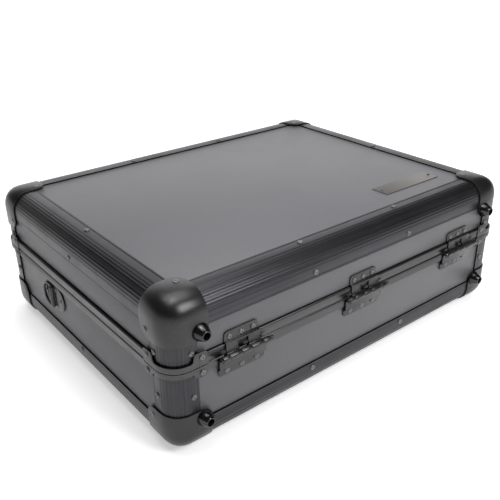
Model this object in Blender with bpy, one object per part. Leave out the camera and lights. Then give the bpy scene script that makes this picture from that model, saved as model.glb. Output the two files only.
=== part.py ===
"""Black flight-style equipment case, lying flat with its lid closed.

The case is built the way such a case is made: laminated panels slide into ribbed
aluminium edge extrusions, steel ball corners tie the extrusions together, a closing
profile runs round the parting line, and pressed steel hardware is riveted on.

All sizes are metres. X runs along the case, the hinges are on the +Y side, the front
with the handle and the latches is on the -Y side, and Z points up. The origin is on
the floor, at the middle of the case's bounding box.
"""

import math

import bmesh
import bpy
from mathutils import Matrix, Vector

# Shell, measured over the flat flanges of the edge extrusions
CASE_LENGTH = 0.530
CASE_DEPTH = 0.409
BASE_HEIGHT = 0.1005
LID_HEIGHT = 0.0756

# Fits
GAP = 0.0003
PIN_PLAY = 0.0002

# Panels
PANEL_THICKNESS = 0.007

# Edge extrusion and corner post, which share one cross-section
EDGE_RADIUS = 0.022
EDGE_FLANGE = 0.033
EDGE_INNER_FLANGE = 0.030
EDGE_WALL = 0.0015
EDGE_GROOVES = 8
EDGE_GROOVE_DEPTH = 0.0006
EDGE_GROOVE_WIDTH = 0.0016
FLANGE_LINE_INSET = 0.0026
FLANGE_LINE_DEPTH = 0.0004

# Closing profile at the parting line
RIM_PROUD = 0.0016
LID_RIM_HEIGHT = 0.0120
BASE_RIM_HEIGHT = 0.0115
RIM_WEB = 0.0026
TONGUE_INSET = 0.0043
TONGUE_WIDTH = 0.0020
TONGUE_HEIGHT = 0.0015

# Ball corners
CAP_REACH = 0.0465
CAP_THICKNESS = 0.0015
CAP_LOBE_RADIUS = 0.014
CAP_RIVET_INSET = 0.0365
CAP_SEGMENTS = 6

# Corner brackets of the closing profile
BRACKET_THICKNESS = 0.0015
BRACKET_SINK = 0.0003
BRACKET_STANDOFF = 0.0003
BRACKET_REACH = 0.043
BRACKET_EAR_INSET = 0.0265
BRACKET_EAR_RADIUS = 0.004
LID_STRAP_HEIGHT = 0.0068
LID_EAR_HEIGHT = 0.0165
LID_EAR_FILLET = 0.0035
BASE_STRAP_HEIGHT = 0.0062
BASE_EAR_HEIGHT = 0.0120
BASE_EAR_FILLET = 0.0010

# Cone feet on the hinge side
FOOT_BASE_RADIUS = 0.0098
FOOT_TIP_RADIUS = 0.0057
FOOT_HEIGHT = 0.0108
FOOT_HOLE_RADIUS = 0.0042
FOOT_HOLE_DEPTH = 0.0078
FOOT_SINK = 0.0005

# Hinges
HINGE_END_INSET = 0.0865
HINGE_PIN_RADIUS = 0.0017
HINGE_SHEET = 0.0015
HINGE_AXIS_OUT = 0.0080
UPPER_LEAF_WIDTH = 0.043
LOWER_LEAF_WIDTH = 0.060
CENTRE_KNUCKLE_WIDTH = 0.0124
KNUCKLE_PLAY = 0.0003
UPPER_LEAF_LENGTH = 0.0245
LOWER_LEAF_LENGTH = 0.0258
LEAF_WINDOW_HEIGHT = 0.0112
LEAF_CORNER_RADIUS = 0.0042
LEAF_BEND_HEIGHT = 0.0054
UPPER_CRANK_HEIGHT = 0.0123
LOWER_CRANK_HEIGHT = 0.0150
CRANK_RUN = 0.0017
PIN_BALL_RADIUS = 0.0027
PIN_RING_WIDTH = 0.0012
PIN_HEAD_THICKNESS = 0.0018

# Strap rings on the short sides
STRAP_RING_Y = -0.0652
STRAP_RING_BELOW_PARTING = 0.0293
STRAP_PLATE_LENGTH = 0.058
STRAP_PLATE_HEIGHT = 0.032
STRAP_PLATE_SHEET = 0.0015
RING_WIRE_RADIUS = 0.0017
RING_HEIGHT = 0.0345
RING_REACH = 0.0255
RING_BEND_RADIUS = 0.0150
BARREL_WALL = 0.0012
BARREL_LENGTH = 0.0270

# Latches on the front: a catch box on the base, a hasp and a ledge on the lid
LATCH_END_INSET = 0.1000
LATCH_SHEET = 0.0015
LATCH_PLATE_WIDTH = 0.052
LATCH_PLATE_HEIGHT = 0.038
LATCH_BOX_WIDTH = 0.046
LATCH_BOX_HEIGHT = 0.0175
LATCH_BOX_OUT = 0.0065
HASP_AXIS_BELOW_PARTING = 0.0160
HASP_PIN_RADIUS = 0.0015
HASP_KNUCKLE_RADIUS = 0.0030
HASP_THICKNESS = 0.0016
HASP_WIDTH = 0.018
HASP_NOSE_OUT = 0.0044
HASP_TAB_LENGTH = 0.0050
HASP_TAB_LEAN = 0.0030
LATCH_EAR_WIDTH = 0.0035
BUTTON_WIDTH = 0.0050
BUTTON_HEIGHT = 0.0070
BUTTON_TRAVEL = 0.0040
BUTTON_RAISE = 0.0022
BUTTON_POCKET_DEPTH = 0.0020
LEDGE_OUT = 0.0062
LEDGE_WIDTH = 0.016
LEDGE_ABOVE_PARTING = 0.0085
STRIKE_WIDTH = 0.028

# Carrying handle on the front
HANDLE_SPACING = 0.0820
HANDLE_AXIS_BELOW_PARTING = 0.0275
HANDLE_AXIS_OUT = 0.0088
HANDLE_WIRE_RADIUS = 0.0030
HANDLE_DROP = 0.0320
HANDLE_ARM_SPACING = 0.0640
HANDLE_BEND_RADIUS = 0.009
HANDLE_BARREL_RADIUS = 0.0052
HANDLE_BARREL_LENGTH = 0.014
HANDLE_PLATE_LENGTH = 0.190
HANDLE_PLATE_HEIGHT = 0.030
HANDLE_PLATE_CORNER = 0.006
GRIP_LENGTH = 0.104
GRIP_THICKNESS = 0.0138
GRIP_DEPTH = 0.022

# Foam inside
FLOOR_FOAM_THICKNESS = 0.020
LID_FOAM_THICKNESS = 0.015

# Smoothness of round shapes
WIRE_SIDES = 8
ROUND_SIDES = 16
ARC_STEPS = 5

# Sizes that follow from the ones above
CAP_PROUD = GAP + CAP_THICKNESS
BASE_BOTTOM = CAP_PROUD
PARTING = BASE_BOTTOM + BASE_HEIGHT
LID_TOP = PARTING + LID_HEIGHT
PANEL_INSET = EDGE_WALL + GAP
PANEL_BACK = PANEL_INSET + PANEL_THICKNESS
SLOT_BOTTOM = EDGE_RADIUS + GAP
INNER_FACE = PANEL_BACK + GAP + EDGE_WALL
EDGE_STOP = EDGE_FLANGE + 3 * GAP
RIM_WEB_TOP = GAP / 2 + RIM_WEB
KNUCKLE_RADIUS = HINGE_PIN_RADIUS + PIN_PLAY + HINGE_SHEET
HASP_AXIS_OUT = LATCH_BOX_OUT + GAP + HASP_THICKNESS / 2
LATCH_BOX_TOP = -HASP_AXIS_BELOW_PARTING - HASP_KNUCKLE_RADIUS - 2 * GAP
SHEET_BACK = -PANEL_INSET + GAP
REAR_REACH = CAP_PROUD + FOOT_HEIGHT
FRONT_REACH = HANDLE_AXIS_OUT + GRIP_THICKNESS / 2
SHELL_Y = (FRONT_REACH - REAR_REACH) / 2
HINGE_X = CASE_LENGTH / 2 - HINGE_END_INSET
LATCH_X = CASE_LENGTH / 2 - LATCH_END_INSET
REAR_Y = SHELL_Y + CASE_DEPTH / 2
FRONT_Y = SHELL_Y - CASE_DEPTH / 2

# Each side's outward direction, its distance from the middle, the direction along it
# and half its length
UP = Vector((0, 0, 1))
SIDES = {
    "rear": (Vector((0, 1, 0)), CASE_DEPTH / 2, Vector((-1, 0, 0)), CASE_LENGTH / 2),
    "front": (Vector((0, -1, 0)), CASE_DEPTH / 2, Vector((1, 0, 0)), CASE_LENGTH / 2),
    "left": (Vector((-1, 0, 0)), CASE_LENGTH / 2, Vector((0, -1, 0)), CASE_DEPTH / 2),
    "right": (Vector((1, 0, 0)), CASE_LENGTH / 2, Vector((0, 1, 0)), CASE_DEPTH / 2),
}

# Signs of x and y at each upright corner
CORNERS = {
    "front_left": (-1, -1),
    "front_right": (1, -1),
    "rear_left": (-1, 1),
    "rear_right": (1, 1),
}

# Colour, roughness and metallic value of each finish
FINISHES = {
    "black_laminate": ((0.035, 0.035, 0.037, 1), 0.42, 0.0),
    "black_anodised": ((0.030, 0.030, 0.032, 1), 0.35, 0.8),
    "black_steel": ((0.022, 0.022, 0.024, 1), 0.28, 0.6),
    "black_rubber": ((0.020, 0.020, 0.021, 1), 0.60, 0.0),
    "charcoal_foam": ((0.045, 0.045, 0.050, 1), 0.95, 0.0),
}


def clear_scene():
    """Remove whatever the open file holds."""
    for item in list(bpy.data.objects):
        bpy.data.objects.remove(item, do_unlink=True)


# Small modelling helpers


def frame(origin, u, v, w):
    """The matrix that takes local (u, v, w) coordinates to the world."""
    matrix = Matrix.Identity(4)
    for column, axis in enumerate((u, v, w)):
        for row in range(3):
            matrix[row][column] = axis[row]
    for row in range(3):
        matrix[row][3] = origin[row]
    return matrix


def side_frame(side, level, up=UP):
    """Local u runs into the case, v up or down from the level, and w along the side."""
    outward, distance, along, _ = SIDES[side]
    origin = Vector((0, SHELL_Y, level)) + outward * distance
    return frame(origin, -outward, up, along)


def half_length(side):
    """Half the length of a side, over the flanges."""
    return SIDES[side][3]


def tidy(bm):
    """Merge points that coincide and turn all faces outward."""
    bmesh.ops.remove_doubles(bm, verts=bm.verts, dist=1e-6)
    bmesh.ops.recalc_face_normals(bm, faces=bm.faces)
    return bm


def prism(outline, low, high, place=None, holes=()):
    """A straight piece with the given cross-section, from w = low to w = high."""
    bm = bmesh.new()
    edges = []
    for loop in (outline, *holes):
        verts = [bm.verts.new((u, v, low)) for u, v in loop]
        edges += [bm.edges.new(pair) for pair in zip(verts, verts[1:] + verts[:1])]
    filled = bmesh.ops.triangle_fill(bm, use_beauty=True, use_dissolve=False, edges=edges)
    faces = [item for item in filled["geom"] if isinstance(item, bmesh.types.BMFace)]
    grown = bmesh.ops.extrude_face_region(bm, geom=faces, use_keep_orig=True)
    raised = [item for item in grown["geom"] if isinstance(item, bmesh.types.BMVert)]
    bmesh.ops.translate(bm, verts=raised, vec=(0, 0, high - low))
    if place:
        bmesh.ops.transform(bm, matrix=place, verts=bm.verts)
    return tidy(bm)


def block(low, high):
    """A rectangular solid between two corners."""
    outline = [(low[0], low[1]), (high[0], low[1]), (high[0], high[1]), (low[0], high[1])]
    return prism(outline, low[2], high[2])


def lathe(profile, sides=ROUND_SIDES):
    """A turned solid: the profile's (radius, height) points spun about local w."""
    bm = bmesh.new()
    verts = [bm.verts.new((radius, 0, height)) for radius, height in profile]
    edges = [bm.edges.new(pair) for pair in zip(verts, verts[1:])]
    bmesh.ops.spin(bm, geom=verts + edges, cent=(0, 0, 0), axis=(0, 0, 1), dvec=(0, 0, 0),
                   angle=2 * math.pi, steps=sides, use_duplicate=False)
    return tidy(bm)


def tube(path, radius, sides=WIRE_SIDES, closed=False):
    """A round wire along a path of points, with flat ends unless it is closed."""
    bm = bmesh.new()
    points = [Vector(point) for point in path]
    count = len(points)
    normal = plane_normal(points)
    rings = []
    for index, point in enumerate(points):
        ahead = points[(index + 1) % count] if closed or index < count - 1 else point
        behind = points[index - 1] if closed or index > 0 else point
        before = (point - behind).normalized() if point != behind else None
        after = (ahead - point).normalized() if ahead != point else None
        tangent = ((before or after) + (after or before)).normalized()
        across = normal.cross(tangent)
        stretch = 1 / max(0.5, tangent.dot(after or before))
        ring = []
        for step in range(sides):
            angle = 2 * math.pi * (step + 0.5) / sides
            offset = across * (math.cos(angle) * stretch) + normal * math.sin(angle)
            ring.append(bm.verts.new(point + offset * radius))
        rings.append(ring)
    pairs = zip(rings, rings[1:] + rings[:1]) if closed else zip(rings, rings[1:])
    for first, second in pairs:
        for step in range(sides):
            following = (step + 1) % sides
            bm.faces.new((first[step], first[following], second[following], second[step]))
    if not closed:
        bm.faces.new(rings[0])
        bm.faces.new(rings[-1])
    return tidy(bm)


def plane_normal(points):
    """The normal of the plane that a bent path lies in."""
    first = (points[1] - points[0]).normalized()
    for start, end in zip(points[1:], points[2:]):
        normal = first.cross(end - start)
        if normal.length > 1e-6:
            return normal.normalized()
    return first.orthogonal().normalized()


def bent_path(corners, radius, steps=ARC_STEPS):
    """The points of an open path through the corners, with each bend rounded."""
    points = [Vector(corner) for corner in corners]
    path = [points[0]]
    for before, corner, after in zip(points, points[1:], points[2:]):
        inward = (before - corner).normalized()
        onward = (after - corner).normalized()
        half_angle = inward.angle(onward) / 2
        setback = radius / math.tan(half_angle)
        centre = corner + (inward + onward).normalized() * (radius / math.sin(half_angle))
        start = corner + inward * setback - centre
        end = corner + onward * setback - centre
        sweep = start.angle(end)
        for step in range(steps + 1):
            part = step / steps
            blend = (start * math.sin(sweep * (1 - part)) + end * math.sin(sweep * part))
            path.append(centre + blend / math.sin(sweep))
    path.append(points[-1])
    return path


def arc(centre, radius, start, end, steps):
    """Points on a circle in the plane, with both ends, angles in degrees."""
    points = []
    for step in range(steps + 1):
        angle = math.radians(start + (end - start) * step / steps)
        points.append((centre[0] + radius * math.cos(angle), centre[1] + radius * math.sin(angle)))
    return points


def circle(centre, radius, sides):
    """A closed ring of points in the plane."""
    return arc(centre, radius, 0, 360, sides)[:-1]


def scratch(bm):
    """A temporary object for a boolean; the bmesh is used up."""
    mesh = bpy.data.meshes.new("scratch")
    bm.to_mesh(mesh)
    bm.free()
    item = bpy.data.objects.new("scratch", mesh)
    bpy.context.scene.collection.objects.link(item)
    return item


def boolean(body, tools, operation):
    """The body after a boolean with each tool in turn; all of them are used up."""
    target = scratch(body)
    cutters = [scratch(tool) for tool in tools]
    for cutter in cutters:
        modifier = target.modifiers.new("boolean", "BOOLEAN")
        modifier.operation = operation
        modifier.solver = "EXACT"
        modifier.object = cutter
    graph = bpy.context.evaluated_depsgraph_get()
    mesh = bpy.data.meshes.new_from_object(target.evaluated_get(graph))
    result = bmesh.new()
    result.from_mesh(mesh)
    bpy.data.meshes.remove(mesh)
    for item in [target, *cutters]:
        bpy.data.objects.remove(item, do_unlink=True)
    return tidy(result)


def union(body, *others):
    """One solid from several that overlap."""
    return boolean(body, others, "UNION")


def cut(body, *tools):
    """The body with the tools' shapes cut away."""
    return boolean(body, tools, "DIFFERENCE")


def placed(piece, matrix):
    """A copy of a solid at its place; a mirrored copy has its faces turned out again."""
    copy = piece.copy()
    bmesh.ops.transform(copy, matrix=matrix, verts=copy.verts)
    bmesh.ops.recalc_face_normals(copy, faces=copy.faces)
    return copy


def finish_material(name, finish):
    """A plain material of its own for each piece."""
    colour, roughness, metallic = FINISHES[finish]
    material = bpy.data.materials.new(name + "_finish")
    material.use_nodes = True
    shader = material.node_tree.nodes["Principled BSDF"]
    shader.inputs["Base Color"].default_value = colour
    shader.inputs["Roughness"].default_value = roughness
    shader.inputs["Metallic"].default_value = metallic
    material.diffuse_color = colour
    return material


def add_piece(name, bm, finish, pivot=None, parent=None):
    """Make a named object from a bmesh, with its origin on the pivot when it has one."""
    place = Matrix.Translation(pivot) if pivot else Matrix.Identity(4)
    bmesh.ops.transform(bm, matrix=place.inverted(), verts=bm.verts)
    mesh = bpy.data.meshes.new(name)
    bm.to_mesh(mesh)
    bm.free()
    mesh.materials.append(finish_material(name, finish))
    mesh.shade_smooth()
    mesh.set_sharp_from_angle(angle=math.radians(35))
    piece = bpy.data.objects.new(name, mesh)
    bpy.context.scene.collection.objects.link(piece)
    piece.matrix_world = place
    if parent:
        piece.parent = parent
        piece.matrix_parent_inverse = parent.matrix_world.inverted()
    return piece


def add_pivot(name, position):
    """An empty on a joint's axis, which carries the pieces that turn about it."""
    pivot = bpy.data.objects.new(name, None)
    bpy.context.scene.collection.objects.link(pivot)
    pivot.empty_display_size = 0.02
    pivot.matrix_world = Matrix.Translation(position)
    return pivot


# Edge extrusions and corner posts


def edge_section():
    """The extrusion's outline and its hollow core, in insets from the two outer faces."""
    radius = EDGE_RADIUS
    half_groove = math.degrees(EDGE_GROOVE_WIDTH / 2 / radius)
    outer = flange_points(swap=False)
    outer.append((0, radius))
    for groove in range(1, EDGE_GROOVES + 1):
        middle = 180 + 90 * groove / (EDGE_GROOVES + 1)
        for angle, depth in ((middle - half_groove, 0), (middle, EDGE_GROOVE_DEPTH),
                             (middle + half_groove, 0)):
            outer += arc((radius, radius), radius - depth, angle, angle, 1)[:1]
    outer.append((radius, 0))
    outer += flange_points(swap=True)[::-1]
    slot_side = PANEL_BACK + GAP
    outer += [(EDGE_FLANGE, EDGE_WALL), (SLOT_BOTTOM, EDGE_WALL), (SLOT_BOTTOM, slot_side),
              (EDGE_INNER_FLANGE, slot_side), (EDGE_INNER_FLANGE, INNER_FACE),
              (INNER_FACE, INNER_FACE), (INNER_FACE, EDGE_INNER_FLANGE),
              (slot_side, EDGE_INNER_FLANGE), (slot_side, SLOT_BOTTOM),
              (EDGE_WALL, SLOT_BOTTOM), (EDGE_WALL, EDGE_FLANGE)]
    core_reach = SLOT_BOTTOM - EDGE_WALL
    core_wall = EDGE_WALL + EDGE_GROOVE_DEPTH
    core = arc((radius, radius), radius - core_wall, 184, 266, 4)
    core[0] = (core[0][0], core_reach)
    core[-1] = (core_reach, core[-1][1])
    core += [(core_reach, slot_side), (slot_side, slot_side), (slot_side, core_reach)]
    return outer, core


def flange_points(swap):
    """The flat flange with its fine line, from its edge towards the round part."""
    line = EDGE_FLANGE - FLANGE_LINE_INSET
    half = FLANGE_LINE_DEPTH
    points = [(0, EDGE_FLANGE), (0, line + half), (FLANGE_LINE_DEPTH, line), (0, line - half)]
    return [(v, u) for u, v in points] if swap else points


def edge_extrusion(side, level, up):
    """One horizontal extrusion, cut square where the ball corners cover its ends."""
    outer, core = edge_section()
    reach = half_length(side) - EDGE_STOP
    return prism(outer, -reach, reach, side_frame(side, level, up), holes=[core])


def corner_post(corner, low, high):
    """One upright extrusion at a corner of the case."""
    outer, core = edge_section()
    return prism(outer, low, high, corner_frame(corner, 0, UP), holes=[core])


def corner_frame(corner, level, up):
    """Local x and y run inwards from the corner's two faces, and z up or down the corner."""
    x, y = CORNERS[corner]
    origin = Vector((x * CASE_LENGTH / 2, SHELL_Y + y * CASE_DEPTH / 2, level))
    return frame(origin, Vector((-x, 0, 0)), Vector((0, -y, 0)), up)


# Panels


def flat_panel(top_face):
    """A top or bottom panel, whose edges sit in the slots of four extrusions."""
    half_x = CASE_LENGTH / 2 - SLOT_BOTTOM - GAP
    half_y = CASE_DEPTH / 2 - SLOT_BOTTOM - GAP
    return block((-half_x, SHELL_Y - half_y, top_face - PANEL_THICKNESS),
                 (half_x, SHELL_Y + half_y, top_face))


def side_panel(side, low, high):
    """A side panel between its extrusion and the closing profile."""
    reach = half_length(side) - SLOT_BOTTOM - GAP
    outline = [(PANEL_INSET, low), (PANEL_BACK, low), (PANEL_BACK, high), (PANEL_INSET, high)]
    return prism(outline, -reach, reach, side_frame(side, 0))


# Closing profile


def rim_section(height, tongue):
    """Outline of the closing profile: a channel for the panel, with a tongue or a groove."""
    out = -RIM_PROUD
    leg = PANEL_INSET - GAP
    slot_side = PANEL_BACK + GAP
    seat = GAP / 2
    bevel = RIM_PROUD
    section = [(out + bevel / 2, seat), (out, seat + bevel), (out, height - bevel),
               (out + bevel, height), (leg, height), (leg, RIM_WEB_TOP),
               (slot_side, RIM_WEB_TOP), (slot_side, height), (INNER_FACE, height),
               (INNER_FACE, seat)]
    play = 0 if tongue else GAP
    near = TONGUE_INSET - play
    far = TONGUE_INSET + TONGUE_WIDTH + play
    depth = seat - TONGUE_HEIGHT if tongue else seat + TONGUE_HEIGHT + play
    return section + [(far, seat), (far, depth), (near, depth), (near, seat)]


def closing_rim(side, height, up, tongue):
    """One length of closing profile, butted between two corner posts."""
    reach = half_length(side) - EDGE_FLANGE - GAP
    return prism(rim_section(height, tongue), -reach, reach, side_frame(side, PARTING, up))


def bracket_columns(strap_height, ear_height, fillet):
    """Positions along a rim bracket, from one ear to the middle, with the height at each."""
    radius = BRACKET_EAR_RADIUS
    outer = BRACKET_REACH - EDGE_RADIUS
    inner = BRACKET_EAR_INSET - EDGE_RADIUS
    columns = []
    for angle in (0, 30, 60, 90):
        turn = math.radians(angle)
        rise = ear_height - radius + radius * math.sin(turn)
        columns.append((outer - radius + radius * math.cos(turn), rise))
    for angle in (90, 60, 30, 0):
        turn = math.radians(angle)
        rise = ear_height - radius + radius * math.sin(turn)
        columns.append((inner + radius - radius * math.cos(turn), rise))
    for angle in (0, 30, 60, 90):
        turn = math.radians(angle)
        rise = strap_height + fillet - fillet * math.sin(turn)
        columns.append((inner - GAP - fillet + fillet * math.cos(turn), rise))
    columns.append((0, strap_height))
    return columns


def bracket_point(distance, out, height):
    """A point on the bent strap; distance is counted from the start of the round corner."""
    radius = EDGE_RADIUS + out
    if distance >= 0:
        return (-out, EDGE_RADIUS + distance, height)
    angle = -distance / EDGE_RADIUS
    centre = EDGE_RADIUS
    return (centre - radius * math.cos(angle), centre - radius * math.sin(angle), height)


def rim_bracket(strap_height, ear_height, fillet):
    """A pressed strap round the corner with an ear at each end, in insets from both faces."""
    quarter = EDGE_RADIUS * math.pi / 2
    ear = bracket_columns(strap_height, ear_height, fillet)
    columns = list(ear)
    steps = 6
    columns += [(-quarter * step / steps, strap_height) for step in range(1, steps)]
    mirrored = [(-quarter - distance, height) for distance, height in ear]
    columns += mirrored[::-1]
    inside = RIM_PROUD - BRACKET_SINK
    outside = inside + BRACKET_THICKNESS
    near = GAP / 2 + BRACKET_STANDOFF
    bm = bmesh.new()
    rings = []
    for distance, height in columns:
        flipped = distance < -quarter
        ring = []
        for out, level in ((inside, near), (outside, near), (outside, height), (inside, height)):
            if flipped:
                x, y, z = bracket_point(-quarter - distance, out, level)
                ring.append(bm.verts.new((y, x, z)))
            else:
                ring.append(bm.verts.new(bracket_point(distance, out, level)))
        rings.append(ring)
    for first, second in zip(rings, rings[1:]):
        for step in range(4):
            following = (step + 1) % 4
            bm.faces.new((first[step], first[following], second[following], second[step]))
    bm.faces.new(rings[0])
    bm.faces.new(rings[-1])
    return tidy(bm)


def closing_frame(height, up, tongue, bracket):
    """Four lengths of closing profile, tied into a frame by a bracket at each corner."""
    rims = [closing_rim(side, height, up, tongue) for side in SIDES]
    brackets = [placed(bracket, corner_frame(corner, PARTING, up)) for corner in CORNERS]
    return union(*rims, *brackets)


# Ball corners and cone feet


def rounded_octant(inset, reach):
    """A block with one corner and its three edges rounded, the corner at the origin's side."""
    bm = block((inset, inset, inset), (reach, reach, reach))
    corner = min(bm.verts, key=lambda vert: vert.co.length)
    edges = [edge for edge in corner.link_edges if not edge_is_diagonal(edge)]
    bmesh.ops.bevel(bm, geom=[corner, *edges], offset=EDGE_RADIUS - inset, offset_type="OFFSET",
                    segments=CAP_SEGMENTS, profile=0.5, affect="EDGES", clamp_overlap=False)
    return tidy(bm)


def edge_is_diagonal(edge):
    """True for a triangle's edge that crosses a flat face of a block."""
    span = edge.verts[0].co - edge.verts[1].co
    return sum(abs(part) > 1e-6 for part in span) > 1


def ball_corner():
    """A three-way cap, in insets from its three faces, with a rounded lobe on each face."""
    beyond = 2 * CAP_REACH
    shell = rounded_octant(-CAP_PROUD, beyond)
    shell = cut(shell, rounded_octant(-GAP, beyond + CAP_REACH))
    turn = CAP_REACH - CAP_LOBE_RADIUS
    lobe = [(-CAP_REACH, -CAP_REACH), (CAP_REACH, -CAP_REACH)]
    lobe += arc((turn, turn), CAP_LOBE_RADIUS, 0, 90, CAP_SEGMENTS)
    lobe.append((-CAP_REACH, CAP_REACH))
    axes = [Vector((1, 0, 0)), Vector((0, 1, 0)), Vector((0, 0, 1))]
    tools = []
    for index in range(3):
        u, v, w = axes[index], axes[(index + 1) % 3], axes[(index + 2) % 3]
        tools.append(prism(lobe, -CAP_REACH, beyond, frame((0, 0, 0), u, v, w)))
    return boolean(shell, tools, "INTERSECT")


def cone_foot():
    """A hollow-tipped cone, turned about the rivet that holds it."""
    tip = FOOT_HEIGHT
    lip = (FOOT_TIP_RADIUS - FOOT_HOLE_RADIUS) / 3
    profile = [(0, -FOOT_SINK), (FOOT_BASE_RADIUS, -FOOT_SINK), (FOOT_BASE_RADIUS, 2 * lip),
               (FOOT_TIP_RADIUS, tip - lip), (FOOT_TIP_RADIUS - lip, tip),
               (FOOT_HOLE_RADIUS, tip), (FOOT_HOLE_RADIUS - lip, tip - FOOT_HOLE_DEPTH),
               (0, tip - FOOT_HOLE_DEPTH)]
    return lathe(profile)


def rear_ball_corner():
    """A cap that carries a cone foot, for the case to stand on its hinge side."""
    seat = Vector((CAP_RIVET_INSET, -CAP_PROUD, CAP_RIVET_INSET))
    place = frame(seat, Vector((1, 0, 0)), Vector((0, 0, 1)), Vector((0, -1, 0)))
    return union(ball_corner(), placed(cone_foot(), place))


def corner_cap(corner, level, up):
    """The cap for one corner of the lid or of the base."""
    cap = rear_ball_corner() if corner.startswith("rear") else ball_corner()
    return placed(cap, corner_frame(corner, level, up))


# Hinges


def leaf_section(length, crank_height):
    """Outline of a leaf with its rolled knuckle: out from the face, up from the pin."""
    centre = Vector((HINGE_AXIS_OUT, 0))
    sheet = HINGE_SHEET
    flat = SHEET_BACK
    near = RIM_PROUD + GAP
    bend = Vector((near, LEAF_BEND_HEIGHT))
    reach = centre - bend
    lean = math.atan2(reach.y, reach.x) - math.asin(KNUCKLE_RADIUS / reach.length)
    along = Vector((math.cos(lean), math.sin(lean)))
    across = Vector((-along.y, along.x))
    touch = centre - across * KNUCKLE_RADIUS
    start = math.degrees(math.atan2(touch.y - centre.y, touch.x - centre.x))
    meet = start + 360 - math.degrees(math.acos((KNUCKLE_RADIUS - sheet) / KNUCKLE_RADIUS))
    curl = arc(centre, KNUCKLE_RADIUS, start, meet, 16)
    front = touch + across * sheet
    front -= along * ((front.x - near - sheet) / along.x)
    crank_end = crank_height + CRANK_RUN
    crank_offset = sheet * math.tan(math.atan2(near - flat, CRANK_RUN) / 2)
    plate = [(front.x, front.y), (near + sheet, crank_height + crank_offset),
             (flat + sheet, crank_end + crank_offset), (flat + sheet, length), (flat, length),
             (flat, crank_end), (near, crank_height), (bend.x, bend.y)]
    eye = circle((HINGE_AXIS_OUT, 0), HINGE_PIN_RADIUS + PIN_PLAY, 12)
    return curl + plate, eye


def leaf(width, length, crank_height, gaps):
    """A leaf of the given width; each gap is a stretch without knuckle and its height."""
    outline, eye = leaf_section(length, crank_height)
    body = prism(outline, -width / 2, width / 2, holes=[eye])
    round_leaf_corners(body, width, length)
    out = HINGE_AXIS_OUT + 2 * KNUCKLE_RADIUS
    tools = [block((-out, -2 * KNUCKLE_RADIUS, low), (out, height, high))
             for low, high, height in gaps]
    return cut(body, *tools)


def round_leaf_corners(body, width, length):
    """Round the two outer corners of a leaf's plate."""
    corners = []
    for edge in body.edges:
        first, second = (vert.co for vert in edge.verts)
        at_end = min(first.y, second.y) > length - GAP / 10
        at_side = abs(first.z - second.z) < GAP / 10
        if at_end and at_side and abs(abs(first.z) - width / 2) < GAP / 10:
            corners.append(edge)
    bmesh.ops.bevel(body, geom=corners, offset=LEAF_CORNER_RADIUS, offset_type="OFFSET",
                    segments=3, profile=0.5, affect="EDGES")
    tidy(body)


def upper_leaf():
    """The lid's leaf: two knuckles with a window between them."""
    half = CENTRE_KNUCKLE_WIDTH / 2 + KNUCKLE_PLAY
    window = [(-half, half, LEAF_WINDOW_HEIGHT)]
    return leaf(UPPER_LEAF_WIDTH, UPPER_LEAF_LENGTH, UPPER_CRANK_HEIGHT, window)


def lower_leaf():
    """The base's leaf: a centre knuckle and two outer ones."""
    inner = CENTRE_KNUCKLE_WIDTH / 2
    outer = UPPER_LEAF_WIDTH / 2 + KNUCKLE_PLAY
    height = KNUCKLE_RADIUS + 3 * KNUCKLE_PLAY
    gaps = [(-outer, -inner, height), (inner, outer, height)]
    return leaf(LOWER_LEAF_WIDTH, LOWER_LEAF_LENGTH, LOWER_CRANK_HEIGHT, gaps)


def hinge_pin():
    """A pin with a ring and a ball at one end and a low head at the other."""
    half = LOWER_LEAF_WIDTH / 2 + GAP
    pin = HINGE_PIN_RADIUS
    ball = PIN_BALL_RADIUS
    head = half + PIN_HEAD_THICKNESS
    ring = half + PIN_RING_WIDTH
    neck = math.sqrt(ball ** 2 - pin ** 2)
    profile = [(0, -head), (pin, -head), (ball, -half), (pin, -half), (pin, half), (ball, half),
               (ball, ring)]
    profile += arc((0, ring + neck), ball, -math.degrees(math.atan2(neck, pin)), 90, 5)[:-1]
    profile.append((0, ring + neck + ball))
    return lathe(profile, sides=12)


def hinge_frame(x, up):
    """Out of the rear face, up or down from the pin, and along the pin."""
    return frame(Vector((x, REAR_Y, PARTING)), Vector((0, 1, 0)), up, Vector((-1, 0, 0)))


# Strap rings


def strap_frame(sign):
    """Out of the short side, towards the front, and up."""
    level = PARTING - STRAP_RING_BELOW_PARTING
    origin = Vector((sign * CASE_LENGTH / 2, SHELL_Y + STRAP_RING_Y, level))
    return frame(origin, Vector((sign, 0, 0)), Vector((0, -1, 0)), UP)


def ring_axis_out():
    """How far the ring's pivot stands out of the flange plane."""
    return SHEET_BACK + STRAP_PLATE_SHEET + RING_WIRE_RADIUS + GAP


def strap_plate():
    """A round-ended plate with a barrel pressed out of its middle."""
    half_height = STRAP_PLATE_HEIGHT / 2
    straight = STRAP_PLATE_LENGTH / 2 - half_height
    outline = arc((straight, 0), half_height, -90, 90, 10)
    outline += arc((-straight, 0), half_height, 90, 270, 10)
    back = SHEET_BACK
    face = back + STRAP_PLATE_SHEET
    flat_on_wall = frame((0, 0, 0), Vector((0, 1, 0)), Vector((0, 0, 1)), Vector((1, 0, 0)))
    plate = prism(outline, back, face, flat_on_wall)
    bore = RING_WIRE_RADIUS + PIN_PLAY
    outer = bore + BARREL_WALL
    skirt = (back + face) / 2
    hump = [(skirt, -outer)]
    hump += arc((ring_axis_out(), 0), outer, -80, 80, 8)
    hump.append((skirt, outer))
    barrel = prism(hump, -BARREL_LENGTH / 2, BARREL_LENGTH / 2)
    bar = prism(circle((ring_axis_out(), 0), bore, 10), -STRAP_PLATE_HEIGHT, STRAP_PLATE_HEIGHT)
    return cut(union(plate, barrel), bar)


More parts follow.
